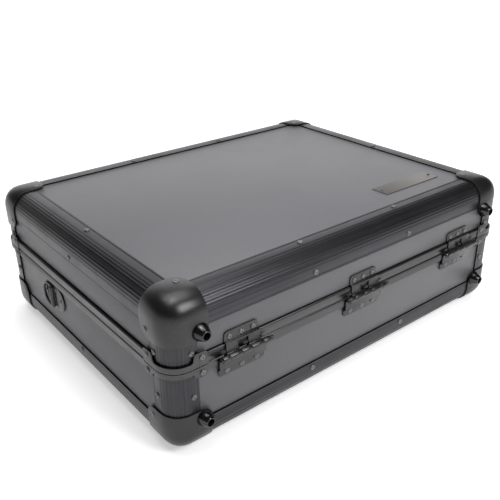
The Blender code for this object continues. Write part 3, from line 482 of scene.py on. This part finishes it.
def build_painted_gap_shade(name):
    """Painted shade of the gaps: 0 within reach of the lines where the panels enter their slots,
    else 1.
    """
    tree, entry, leave = new_group(name, [("Reach", "NodeSocketFloat", 0.001)], ["Shade"])
    part = from_middle(tree, entry["Vector"])
    lines = [(math_node(tree, "ABSOLUTE", part["X"]), HALF_LENGTH - FLANGE),
             (math_node(tree, "ABSOLUTE", part["Y"]), HALF_DEPTH - FLANGE)]
    lines += [(part["Z"], level) for level in
              (LID_TOP - FLANGE, LID_RIM_TOP, BASE_RIM_LOW, BASE_BOTTOM + FLANGE)]
    nearest = None
    for place, line in lines:
        away = math_node(tree, "ABSOLUTE", math_node(tree, "SUBTRACT", place, line))
        nearest = away if nearest is None else math_node(tree, "MINIMUM", nearest, away)
    share = math_node(tree, "DIVIDE", nearest, entry["Reach"])
    feed(tree, leave["Shade"], span_node(tree, share, 0.75, 1.25, 0.12, 1.0))
    return tree


def build_foam_cells(name):
    """Open cells of cut foam, as a height, and as a shade with painted shade in the pits."""
    tree, entry, leave = new_group(
        name, [("Scale", "NodeSocketFloat", 900.0)], ["Height", "Shade"])
    cells = add_node(tree, "ShaderNodeTexVoronoi", Vector=entry["Vector"],
                     Scale=entry["Scale"], Randomness=1.0)
    slow = add_node(tree, "ShaderNodeTexNoise", Vector=entry["Vector"], Scale=60.0,
                    Detail=4.0, Roughness=0.6)
    pits = span_node(tree, cells.outputs["Distance"], 0.05, 0.55, 1.0, 0.0)
    feed(tree, leave["Height"], pits)
    # Painted shade: the pits are darker, as if in shadow, over a slow drift in tone.
    shade = math_node(tree, "ADD", math_node(tree, "MULTIPLY", pits, -0.45),
                      math_node(tree, "MULTIPLY", slow.outputs["Fac"], 0.5))
    feed(tree, leave["Shade"], math_node(tree, "ADD", shade, 0.75))
    return tree


GROUP_BUILDERS = {
    "Surface Grain": build_grain,
    "Handling Marks": build_marks,
    "Shell Distance": build_shell_distance,
    "Painted Gap Shade": build_painted_gap_shade,
    "Foam Cells": build_foam_cells,
}


class Finish:
    """A material under construction, with its shader and its object coordinates."""

    def __init__(self, name, roughness=0.4, metallic=0.0, specular=0.5):
        self.material = bpy.data.materials.new(name)
        self.material.use_nodes = True
        self.tree = self.material.node_tree
        self.shader = self.tree.nodes["Principled BSDF"].inputs
        for key, value in (("Roughness", roughness), ("Metallic", metallic),
                           ("Specular IOR Level", specular)):
            self.shader[key].default_value = value
        self.place = self.tree.nodes.new("ShaderNodeTexCoord").outputs["Object"]
        self.rough = None

    def group(self, name, **values):
        """Place a shared group, built the first time that a material asks for it."""
        node = self.tree.nodes.new("ShaderNodeGroup")
        node.node_tree = bpy.data.node_groups.get(name) or GROUP_BUILDERS[name](name)
        for key, value in dict(values, Vector=self.place).items():
            feed(self.tree, node.inputs[key], value)
        return node.outputs

    def shade(self, colour, *factors):
        """Set the base colour to a colour whose brightness the factors vary."""
        result = factors[0]
        for factor in factors[1:]:
            result = math_node(self.tree, "MULTIPLY", result, factor)
        scaled = vector_node(self.tree, "SCALE", colour)
        feed(self.tree, scaled.node.inputs["Scale"], result)
        feed(self.tree, self.shader["Base Color"], scaled)
        self.material.diffuse_color = (*colour, 1)

    def roughen(self, part, share=1.0):
        """Add a share of a part to the roughness."""
        part = part if share == 1.0 else math_node(self.tree, "MULTIPLY", part, share)
        self.rough = math_node(self.tree, "ADD", self.rough, part) if self.rough else part
        feed(self.tree, self.shader["Roughness"], self.rough)

    def bump(self, height, depth):
        """Raise the surface by a height from 0 to 1, times a depth in metres."""
        node = add_node(self.tree, "ShaderNodeBump", Strength=1.0, Distance=depth, Height=height)
        feed(self.tree, self.shader["Normal"], node.outputs["Normal"])


def grainy_finish(name, colour, rough, *, bump, scale=1.0, stretch=(1.0, 1.0, 1.0),
                  metallic=0.0, grain=0.0, drift, drift_span=(0.2, 0.8), marks=None,
                  joints=None):
    """A finish with the shared grain, and with marks and painted shade in the panels' gaps where
    given.

    rough is the roughness at the grain's two ends, and bump is the grain's depth. grain and
    drift are the shares by which each varies the colour. marks are the marks' amount, the
    brightness of a scratch and the dulling of a smudge. The last argument is the reach of the
    painted shade that darkens the gaps where the panels enter their slots.
    """
    finish = Finish(name, metallic=metallic)
    tree = finish.tree
    source = finish.group("Surface Grain", Scale=scale, Stretch=stretch)
    factors = [span_node(tree, source["Drift"], *drift_span, 1 - drift, 1 + drift)]
    finish.roughen(span_node(tree, source["Grain"], 0.2, 0.8, *rough))
    if grain:
        factors.append(span_node(tree, source["Grain"], 0.25, 0.75, 1 - grain, 1 + grain))
    if marks:
        amount, scratch, smudge = marks
        worn = finish.group("Handling Marks", Amount=amount)
        factors.append(span_node(tree, worn["Scratches"], 0.0, 1.0, 1.0, scratch))
        finish.roughen(worn["Smudges"], smudge)
    # Painted shade: the colour darkens along the lines where the panels enter their slots, as if
    # those gaps lay in shadow.
    if joints:
        shade = finish.group("Painted Gap Shade", Reach=joints)["Shade"]
        factors.append(shade)
        finish.roughen(span_node(tree, shade, 0.0, 1.0, 0.5, 0.0))
    finish.shade(colour, *factors)
    finish.bump(source["Grain"], bump)
    return finish


def laminate_finish(settings):
    """Black laminate on plywood: fine pebble grain, slow drift, a few scratches, and painted
    shade in the gaps at its edges.
    """
    base = settings.laminate_roughness
    return grainy_finish("panel_laminate", settings.laminate, (base - 0.05, base + 0.06),
                         bump=0.00006, scale=1700.0, grain=0.14, drift=0.03,
                         marks=(0.5, 1.25, 0.04), joints=0.0009).material


def anodised_finish(settings, name, stretch, colour):
    """Black anodised extrusion with drawn lines along its length, and painted shade in the
    gaps at the panels' edges.
    """
    base = settings.anodised_roughness
    return grainy_finish(name, colour, (base - 0.06, base + 0.08), bump=0.00001,
                         stretch=stretch, metallic=0.9, grain=0.22, drift=0.08,
                         marks=(0.7, 1.5, 0.12), joints=0.00012)


def powder_finish(settings, name, foot_plane=None):
    """Satin powder coat; past the foot plane the cone feet are glossy."""
    base = settings.powder_roughness
    finish = grainy_finish(name, settings.powder_coat, (base - 0.04, base + 0.05),
                           bump=0.000008, scale=1100.0, metallic=0.92, grain=0.08, drift=0.10,
                           marks=(0.6, 1.6, 0.10))
    if foot_plane is not None:
        part = add_node(finish.tree, "ShaderNodeSeparateXYZ", Vector=finish.place).outputs
        finish.roughen(math_node(finish.tree, "GREATER_THAN", part["Y"], foot_plane), -0.20)
    return finish.material


def hardware_finish(settings):
    """Gloss black paint on pressed steel, with a little orange peel and worn spots."""
    base = settings.hardware_roughness
    return grainy_finish("hardware_paint", settings.hardware, (base - 0.04, base + 0.06),
                         bump=0.000005, scale=420.0, metallic=0.8, drift=0.12,
                         marks=(0.9, 2.2, 0.14)).material


def frame_finish(settings):
    """Closing profile: drawn lines along the rims, satin coat on brackets and strikes, and
    painted shade in the gaps at the rims' edges.
    """
    finish = anodised_finish(settings, "closing_frame_anodised", (6.0, 6.0, 900.0),
                             settings.closing_profile)
    out = finish.group("Shell Distance")["Distance"]
    finish.roughen(math_node(finish.tree, "GREATER_THAN", out, BRACKET_LIMIT), 0.05)
    return finish.material


def rivet_finish(settings):
    """Dull bronze-grey rivet heads, a little different from one to the next."""
    return grainy_finish("rivet_metal", settings.rivet, (0.28, 0.42), bump=0.00003,
                         scale=900.0, metallic=0.4, grain=0.15, drift=0.20,
                         drift_span=(0.3, 0.7)).material


def badge_finish(settings):
    """Brushed dark metal, bare of any lettering."""
    return grainy_finish("badge_metal", settings.badge, (0.34, 0.46), bump=0.00002,
                         stretch=(25.0, 2600.0, 2600.0), metallic=0.35, grain=0.15,
                         drift=0.06).material


def rubber_finish(settings):
    """Matte moulded rubber with a fine texture."""
    return grainy_finish("grip_rubber", settings.rubber, (0.55, 0.70), bump=0.00008,
                         scale=1300.0, grain=0.12, drift=0.15).material


def foam_finish(settings):
    """Charcoal open-cell foam, with painted shade in its cells' pits."""
    finish = Finish("foam_cells", roughness=0.95, specular=0.2)
    cells = finish.group("Foam Cells", Scale=800.0)
    finish.shade(settings.foam, cells["Shade"])
    finish.bump(cells["Height"], 0.0004)
    return finish.material


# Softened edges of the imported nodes


def geometry_group(name, build):
    """The geometry node group of this name, a chain of the nodes that build adds to it."""
    tree = bpy.data.node_groups.get(name)
    if tree is None:
        tree = bpy.data.node_groups.new(name, "GeometryNodeTree")
        for way in ("INPUT", "OUTPUT"):
            tree.interface.new_socket(name="Geometry", in_out=way,
                                      socket_type="NodeSocketGeometry")
        chain = [tree.nodes.new("NodeGroupInput"), *build(tree),
                 tree.nodes.new("NodeGroupOutput")]
        for first, second in zip(chain, chain[1:]):
            tree.links.new(first.outputs[0], second.inputs[0])
    return tree


def join_corners(tree):
    """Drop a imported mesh's flat normals and join its corners."""
    return [add_node(tree, "GeometryNodeRemoveAttribute", Name="custom_normal"),
            add_node(tree, "GeometryNodeMergeByDistance", Distance=0.00001),
            tree.nodes.new("GeometryNodeSetShadeSmooth")]


def smooth_group(angle):
    """Geometry nodes that keep an edge sharp where its faces meet at more than the angle."""

    def smooth_edges(tree):
        bend = tree.nodes.new("GeometryNodeInputMeshEdgeAngle").outputs["Unsigned Angle"]
        low = tree.nodes.new("FunctionNodeCompare")
        low.operation = "LESS_THAN"
        feed(tree, low.inputs[0], bend)
        feed(tree, low.inputs[1], math.radians(angle))
        smooth = tree.nodes.new("GeometryNodeSetShadeSmooth")
        smooth.domain = "EDGE"
        feed(tree, smooth.inputs["Shade Smooth"], low.outputs[0])
        return [smooth]

    return geometry_group(f"Smooth To {angle} Degrees", smooth_edges)


def dress(names, material, width=0.0, angle=30):
    """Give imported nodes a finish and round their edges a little.

    At width 0 their curves are shaded smoothly and their wide flat faces stay flat.
    """
    for name in names:
        item = NODES[name]
        item.data.materials.clear()
        item.data.materials.append(material)
        join = item.modifiers.new("join_corners", "NODES")
        join.node_group = geometry_group("Join Corners", join_corners)
        if width > 0:
            flat = item.modifiers.new("flat_faces", "DECIMATE")
            flat.decimate_type = "DISSOLVE"
            flat.angle_limit = math.radians(FLAT_ANGLE)
            bevel = item.modifiers.new("soft_edges", "BEVEL")
            bevel.width = width
            bevel.segments = 2
            bevel.limit_method = "ANGLE"
            bevel.angle_limit = math.radians(angle)
            bevel.miter_outer = "MITER_ARC"
        item.modifiers.new("smooth_shading", "NODES").node_group = smooth_group(angle)
        if width == 0:
            item.modifiers.new("flat_shading", "WEIGHTED_NORMAL").keep_sharp = True


def nodes_like(*endings):
    """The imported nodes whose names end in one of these, in order."""
    return sorted(name for name in NODES if name.endswith(endings))


# Operators


class DJCASE_OT_panels(Operator):
    """Finish the laminated panels"""

    bl_idname = "dj_case.panels"
    bl_label = "Panels"

    def execute(self, context):
        material = laminate_finish(context.scene.dj_case_finish)
        dress(nodes_like("_panel"), material, SOFT_EDGE)
        return {"FINISHED"}


class DJCASE_OT_extrusions(Operator):
    """Finish the edge extrusions, the corner posts and the closing profile"""

    bl_idname = "dj_case.extrusions"
    bl_label = "Extrusions"

    def execute(self, context):
        settings = context.scene.dj_case_finish
        for name, stretch, endings in (
                ("anodised_long_edges", (3.0, 700.0, 700.0), ("front_edge", "rear_edge")),
                ("anodised_short_edges", (700.0, 3.0, 700.0), ("left_edge", "right_edge")),
                ("anodised_posts", (700.0, 700.0, 3.0), ("_post",))):
            finish = anodised_finish(settings, name, stretch, settings.anodised)
            dress(nodes_like(*endings), finish.material, angle=GROOVE_ANGLE)
        dress(nodes_like("_closing_frame"), frame_finish(settings), SOFT_RIM)
        return {"FINISHED"}


class DJCASE_OT_ball_corners(Operator):
    """Finish the ball corners and their cone feet"""

    bl_idname = "dj_case.ball_corners"
    bl_label = "Ball corners"

    def execute(self, context):
        settings = context.scene.dj_case_finish
        plain = powder_finish(settings, "ball_corner_coat")
        footed = powder_finish(settings, "footed_corner_coat", REAR + CAP_PROUD + 0.0003)
        for name in nodes_like("_ball_corner"):
            dress([name], footed if "_rear_" in name else plain, SOFT_EDGE, BALL_ANGLE)
        return {"FINISHED"}


class DJCASE_OT_hardware(Operator):
    """Finish the hinges, strap rings, latches and handle"""

    bl_idname = "dj_case.hardware"
    bl_label = "Hardware"

    def execute(self, context):
        material = hardware_finish(context.scene.dj_case_finish)
        dress(nodes_like("_leaf", "_plate", "_plate_left", "_plate_right", "_box", "_hasp",
                         "_button"), material, SOFT_EDGE)
        dress(nodes_like("_pin"), material, angle=PIN_ANGLE)
        dress(nodes_like("_ring_left", "_ring_right", "_bail"), material, angle=ROD_ANGLE)
        return {"FINISHED"}


class DJCASE_OT_shell_rivets(Operator):
    """Rivet the extrusions, posts, ball corners and brackets"""

    bl_idname = "dj_case.shell_rivets"
    bl_label = "Shell rivets"

    def execute(self, context):
        rivets = context.scene.dj_case_rivets
        material = rivet_finish(context.scene.dj_case_finish)
        low_head = rivets.cap_height / rivets.height
        for body, level, sign in (("lid", LID_TOP, 1), ("base", BASE_BOTTOM, -1)):
            for part, places, tall in (
                    ("flange", flange_places(rivets, level, sign), 1.0),
                    ("corner", corner_places(rivets, body), 1.0),
                    ("cap", cap_places(rivets, level, sign), low_head)):
                bm = bmesh.new()
                for place in places:
                    add_rivet(bm, place, rivets, tall=tall)
                make_piece(f"{body}_{part}_rivets", bm, material, body)
        return {"FINISHED"}


def flange_places(rivets, level, sign):
    """Places of the rivets along the extrusions' flanges."""
    inset = rivets.flange_inset
    places = []
    for side in SIDES:
        reach = rivets.long_side_offset if side in ("rear", "front") else 0.0
        for along in sorted({-reach, reach}):
            places.append(face_place(side, along, level - sign * inset))
            spot = face_place(side, along, level, -inset).translation
            places.append(flat_place(spot.x, spot.y, level, sign))
    return places


def corner_places(rivets, body):
    """Places of the rivets on the posts and on the closing profile's brackets."""
    post_level = PARTING + POST_RIVETS[body]
    bracket_level = PARTING + BRACKET_RIVETS[body]
    places = []
    for side in SIDES:
        half = HALF_LENGTH if side in ("rear", "front") else HALF_DEPTH
        for end in (-1, 1):
            places.append(face_place(side, end * (half - rivets.flange_inset), post_level))
            along = end * (half - rivets.corner_inset)
            places.append(face_place(side, along, bracket_level, BRACKET_PROUD))
    return places


def cap_places(rivets, level, sign):
    """Places of the rivets on the ball corners' three faces, but for those under the feet."""
    inset = rivets.corner_inset
    places = []
    for end_x in (-1, 1):
        for end_y in (-1, 1):
            x = end_x * (HALF_LENGTH - inset)
            y = MIDDLE + end_y * (HALF_DEPTH - inset)
            places.append(flat_place(x, y, level + sign * CAP_PROUD, sign))
    for side in ("front", "left", "right"):
        half = HALF_LENGTH if side == "front" else HALF_DEPTH
        for end in (-1, 1):
            along = end * (half - inset)
            places.append(face_place(side, along, level - sign * inset, CAP_PROUD))
    return places


class DJCASE_OT_hardware_rivets(Operator):
    """Rivet the hinges, strap plates, latches and handle plate"""

    bl_idname = "dj_case.hardware_rivets"
    bl_label = "Hardware rivets"

    def execute(self, context):
        rivets = context.scene.dj_case_rivets
        material = bpy.data.materials["rivet_metal"]
        for piece, body in (("upper_leaf_rivets", "lid"), ("lower_leaf_rivets", "base")):
            leaves = bmesh.new()
            for hinge in ("left", "centre", "right"):
                low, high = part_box(f"hinge_{hinge}_upper_leaf")
                for step in (-1, 0, 1):
                    along = (low.x + high.x) / 2 + step * LEAF_SPACING[body]
                    place = face_place("rear", along, PARTING + LEAF_RIVETS[body])
                    add_rivet(leaves, place, rivets, wide=0.92)
            make_piece(piece, leaves, material, body)
        plates = bmesh.new()
        for side in ("left", "right"):
            low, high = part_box(f"strap_plate_{side}")
            middle = (low + high) / 2
            for along, rise in STRAP_RIVETS:
                place = face_place(side, middle.y - MIDDLE + along, middle.z + rise)
                add_rivet(plates, place, rivets, wide=0.6, tall=0.7, hole=0.6)
        low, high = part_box("handle_plate")
        places = [(along, (low.z + high.z) / 2 + rise) for along, rise in HANDLE_RIVETS]
        for side in ("left", "right"):
            low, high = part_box(f"latch_{side}_box")
            middle = (low.x + high.x) / 2
            for end in (-1, 1):
                places.append((middle + end * LATCH_TOP_RIVETS[0], high.z - LATCH_TOP_RIVETS[1]))
                places.append((middle + end * LATCH_LOW_RIVETS[0], low.z + LATCH_LOW_RIVETS[1]))
        for along, level in places:
            add_rivet(plates, face_place("front", along, level), rivets, wide=0.75, hole=0.8)
        make_piece("plate_rivets", plates, material, "base")
        return {"FINISHED"}


class DJCASE_OT_badge(Operator):
    """Put the bare plate and its two pins on the lid"""

    bl_idname = "dj_case.badge"
    bl_label = "Bare plate"

    def execute(self, context):
        badge = context.scene.dj_case_badge
        material = badge_finish(context.scene.dj_case_finish)
        corner_radius, rim_radius, sharp_angle = 0.0008, 0.0003, 0.8
        pin_radius, pin_height, pin_root = 0.0019, 0.0009, 0.0003
        bm = bmesh.new()
        bmesh.ops.create_cube(bm, size=1.0)
        scale = Matrix.Diagonal((badge.length, badge.width, badge.thickness, 1))
        middle = Vector((badge.middle_x, badge.middle_y, PANEL_TOP + badge.thickness / 2))
        bmesh.ops.transform(bm, matrix=Matrix.Translation(middle) @ scale, verts=bm.verts)
        upright = [edge for edge in bm.edges
                   if abs(edge.verts[0].co.z - edge.verts[1].co.z) > badge.thickness / 2]
        bmesh.ops.bevel(bm, geom=upright, offset=corner_radius, offset_type="OFFSET",
                        segments=3, profile=0.5, affect="EDGES")
        rim = [edge for edge in bm.edges if edge.calc_face_angle() > sharp_angle
               and all(vert.co.z > middle.z for vert in edge.verts)]
        bmesh.ops.bevel(bm, geom=rim, offset=rim_radius, offset_type="OFFSET",
                        segments=2, profile=0.5, affect="EDGES")
        make_piece("badge_plate", bm, material, "lid")
        pins = bmesh.new()
        profile = [(0, pin_height), *dome_profile(pin_radius, pin_height),
                   (pin_radius, -pin_root)]
        for end in (-1, 1):
            place = flat_place(badge.middle_x + end * badge.pin_spacing / 2, badge.middle_y,
                               PANEL_TOP + badge.thickness)
            add_turned(pins, profile, place, steps=16)
        make_piece("badge_pins", pins, bpy.data.materials["hardware_paint"], "lid")
        return {"FINISHED"}


class DJCASE_OT_foam(Operator):
    """Lay the foam pads in the base and in the lid"""

    bl_idname = "dj_case.foam"
    bl_label = "Foam pads"

    def execute(self, context):
        foam = context.scene.dj_case_foam
        material = foam_finish(context.scene.dj_case_finish)
        low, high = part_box("base_foam_pad")
        floor_pad = foam_sheet(low, high, foam.edge_radius, 1, lambda x, y: 0.0)
        piece = make_piece("floor_foam", floor_pad, material, "base", angle=60)
        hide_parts("base_foam_pad")
        low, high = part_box("lid_foam_pad")
        depth = (high.z - low.z) * foam.wave_share
        turns = 2 * math.pi / foam.wave

        def waves(x, y):
            return depth / 2 * (1 - math.sin(turns * x) * math.sin(turns * y))

        lid_pad = foam_sheet(low, high, foam.edge_radius, -1, waves)
        piece = make_piece("lid_foam", lid_pad, material, "lid", angle=60)
        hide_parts("lid_foam_pad")
        return {"FINISHED"}


def foam_sheet(low, high, radius, facing, hollow):
    """A pad between two corners, flat against the case, with a shaped free face."""
    gap, mesh_step = 0.0002, 0.0045
    span_x = high.x - low.x - 2 * gap
    span_y = high.y - low.y - 2 * gap
    count_x = round(span_x / mesh_step)
    count_y = round(span_y / mesh_step)
    back = low.z if facing > 0 else high.z
    thickness = high.z - low.z
    bm = bmesh.new()
    front, rear = [], []
    for i in range(count_x + 1):
        front_row, rear_row = [], []
        for j in range(count_y + 1):
            x = low.x + gap + span_x * i / count_x
            y = low.y + gap + span_y * j / count_y
            rim = min(x - low.x, high.x - x, y - low.y, high.y - y) - gap
            drop = 0.0
            if rim < radius:
                drop = radius - math.sqrt(max(0.0, radius ** 2 - (radius - rim) ** 2))
            blend = min(1.0, rim / (3 * radius))
            rise = thickness - drop - hollow(x, y) * blend
            front_row.append(bm.verts.new((x, y, back + facing * rise)))
            rear_row.append(bm.verts.new((x, y, back)))
        front.append(front_row)
        rear.append(rear_row)
    for i in range(count_x):
        for j in range(count_y):
            for rows in (front, rear):
                bm.faces.new((rows[i][j], rows[i + 1][j], rows[i + 1][j + 1], rows[i][j + 1]))
    border = [(i, 0) for i in range(count_x)] + [(count_x, j) for j in range(count_y)]
    border += [(i, count_y) for i in range(count_x, 0, -1)]
    border += [(0, j) for j in range(count_y, 0, -1)]
    for (i, j), (k, m) in zip(border, border[1:] + border[:1]):
        bm.faces.new((front[i][j], front[k][m], rear[k][m], rear[i][j]))
    return bm


class DJCASE_OT_grip(Operator):
    """Mould the ribbed grip round the handle's bar"""

    bl_idname = "dj_case.grip"
    bl_label = "Grip"

    def execute(self, context):
        material = rubber_finish(context.scene.dj_case_finish)
        low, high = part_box("handle_grip")
        steps, sides = 96, 32
        bm = bmesh.new()
        rings = [grip_ring(bm, low, high, step / steps, sides) for step in range(steps + 1)]
        join_rings(bm, rings)
        bm.faces.new(rings[0])
        bm.faces.new(rings[-1])
        piece = make_piece("ribbed_grip", bm, material, "handle", angle=50)
        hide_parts("handle_grip")
        return {"FINISHED"}


def grip_ring(bm, low, high, share, sides):
    """The grip's outline at a share of its length: round ends, ribs and finger waves."""
    end_radius, end_size = 0.004, 0.70
    rib_pitch, rib_depth, rib_start = 0.004, 0.00035, 0.012
    finger_pitch, finger_depth = 0.0255, 0.0011
    middle, half = (low + high) / 2, (high - low) / 2
    x = low.x + (high.x - low.x) * share
    end = min(share, 1 - share) * (high.x - low.x)
    rounding, rib = 1.0, 0.0
    if end < end_radius:
        rounding = end_size + (1 - end_size) * math.sqrt(1 - (1 - end / end_radius) ** 2)
    if end > rib_start:
        rib = rib_depth * (0.5 - 0.5 * math.cos(2 * math.pi * x / rib_pitch))
    wave = finger_depth * (0.5 - 0.5 * math.cos(2 * math.pi * x / finger_pitch))
    ring = []
    for side in range(sides):
        angle = 2 * math.pi * side / sides
        finger = max(0.0, -math.sin(angle)) * wave
        out_y = (half.y - rib) * rounding
        out_z = (half.z - rib - finger) * rounding
        ring.append(bm.verts.new((x, middle.y + out_y * math.cos(angle),
                                  middle.z + out_z * math.sin(angle))))
    return ring


class DJCASE_OT_studio(Operator):
    """Make the floor, the lights and the camera"""

    bl_idname = "dj_case.studio"
    bl_label = "Studio"

    def execute(self, context):
        studio = context.scene.dj_case_studio
        make_floor(studio)
        make_world(context.scene, studio)
        make_lights(studio)
        make_camera(context.scene, studio)
        context.scene.view_settings.view_transform = "Standard"
        return {"FINISHED"}


def make_floor(studio):
    """A wide pale floor under the case, just below the rivets of the ball corners."""
    half_size, level, near, far = 6.0, -0.0008, 0.6, 3.0
    finish = Finish("studio_floor_paint", roughness=0.85)
    tree = finish.tree
    grain = finish.group("Surface Grain", Scale=240.0)
    finish.shade(studio.floor, span_node(tree, grain["Grain"], 0.2, 0.8, 0.99, 1.01))
    path = tree.nodes.new("ShaderNodeLightPath").outputs
    seen = math_node(tree, "MAXIMUM", path["Is Camera Ray"], path["Is Glossy Ray"])
    seen = math_node(tree, "MAXIMUM", seen, path["Is Transmission Ray"])
    away = vector_node(tree, "LENGTH", finish.place, result="Value")
    glow = span_node(tree, away, near, far, studio.floor_glow, 1.0)
    feed(tree, finish.shader["Emission Strength"], math_node(tree, "MULTIPLY", seen, glow))
    feed(tree, finish.shader["Emission Color"], (1, 1, 1, 1))
    bm = bmesh.new()
    bmesh.ops.create_grid(bm, x_segments=1, y_segments=1, size=half_size)
    floor = new_object("studio_floor", new_mesh("studio_floor", bm, finish.material))
    floor.location.z = level


def make_world(scene, studio):
    """A dim studio with a pale backdrop behind the case and a white horizon."""
    world = bpy.data.worlds.new("studio_world")
    world.use_nodes = True
    tree = world.node_tree
    background = tree.nodes["Background"].inputs
    direction = tree.nodes.new("ShaderNodeTexCoord").outputs["Generated"]
    height = add_node(tree, "ShaderNodeSeparateXYZ", Vector=direction).outputs["Z"]
    toward = vector_node(tree, "DOT_PRODUCT", direction, studio.backdrop_side, result="Value")
    wide = span_node(tree, toward, *BACKDROP_SIDES)
    tall = span_node(tree, height, *BACKDROP_TOP, 1.0, 0.0)
    backdrop = math_node(tree, "MULTIPLY", math_node(tree, "MULTIPLY", wide, tall),
                         studio.backdrop)
    horizon = span_node(tree, height, *HORIZON, 1.0, studio.dim)
    background["Color"].default_value = (1, 1, 1, 1)
    feed(tree, background["Strength"], math_node(tree, "MAXIMUM", backdrop, horizon))
    scene.world = world


def make_lights(studio):
    """Soft boxes: a large and a small one overhead and one at the hinge side."""
    aim = Vector((0, 0, 0.09))
    for name, place, size, power in (
            ("key_light", (0.00, -0.18, 1.52), 1.40, studio.key),
            ("spot_light", (0.13, 0.09, 1.20), 0.24, studio.spot),
            ("side_light", (-0.13, 0.92, 0.84), 0.52, studio.side)):
        light = bpy.data.lights.new(name, "AREA")
        light.shape = "SQUARE"
        light.size = size
        light.energy = power
        item = new_object(name, light)
        item.location = place
        item.rotation_mode = "QUATERNION"
        item.rotation_quaternion = (aim - Vector(place)).to_track_quat("-Z", "Y")


def make_camera(scene, studio):
    """The photograph's camera: from the hinge side and the right end, above the lid."""
    azimuth, elevation = math.radians(CAMERA_AZIMUTH), math.radians(CAMERA_ELEVATION)
    back = Vector((math.sin(azimuth) * math.cos(elevation),
                   -math.cos(azimuth) * math.cos(elevation), math.sin(elevation)))
    roll = Matrix.Rotation(math.radians(CAMERA_ROLL), 3, back)
    across = roll @ UP.cross(back).normalized()
    lens = bpy.data.cameras.new("photo_camera")
    lens.sensor_width = 36.0
    lens.lens = studio.focal_length
    lens.clip_start = 0.01
    lens.clip_end = 50.0
    camera = new_object("photo_camera", lens)
    camera.matrix_world = axes_matrix(across, back.cross(across), back,
                                      CAMERA_TARGET + back * CAMERA_DISTANCE)
    scene.camera = camera


GROUPS = {
    "dj_case_finish": DjCaseFinish,
    "dj_case_rivets": DjCaseRivets,
    "dj_case_badge": DjCaseBadge,
    "dj_case_foam": DjCaseFoam,
    "dj_case_studio": DjCaseStudio,
}
STEPS = (DJCASE_OT_panels, DJCASE_OT_extrusions, DJCASE_OT_ball_corners, DJCASE_OT_hardware,
         DJCASE_OT_shell_rivets, DJCASE_OT_hardware_rivets, DJCASE_OT_badge, DJCASE_OT_foam,
         DJCASE_OT_grip, DJCASE_OT_studio)


class DJCASE_PT_looks(Panel):
    """Lists the case's operators and settings in the sidebar"""

    bl_idname = "DJCASE_PT_looks"
    bl_label = "DJ Case"
    bl_space_type = "VIEW_3D"
    bl_region_type = "UI"
    bl_category = "DJ Case"

    def draw(self, context):
        layout = self.layout
        for step in STEPS:
            layout.operator(step.bl_idname)
        for name in GROUPS:
            group = getattr(context.scene, name)
            box = layout.box()
            for key in group.__annotations__:
                box.prop(group, key)


def register():
    for name, group in GROUPS.items():
        bpy.utils.register_class(group)
        setattr(bpy.types.Scene, name, PointerProperty(type=group))
    for item in (*STEPS, DJCASE_PT_looks):
        bpy.utils.register_class(item)


def unregister():
    for item in (DJCASE_PT_looks, *reversed(STEPS)):
        bpy.utils.unregister_class(item)
    for name, group in GROUPS.items():
        delattr(bpy.types.Scene, name)
        bpy.utils.unregister_class(group)


def main():
    register()
    for step in STEPS:
        family, action = step.bl_idname.split(".")
        getattr(getattr(bpy.ops, family), action)()


if __name__ == "__main__":
    main()
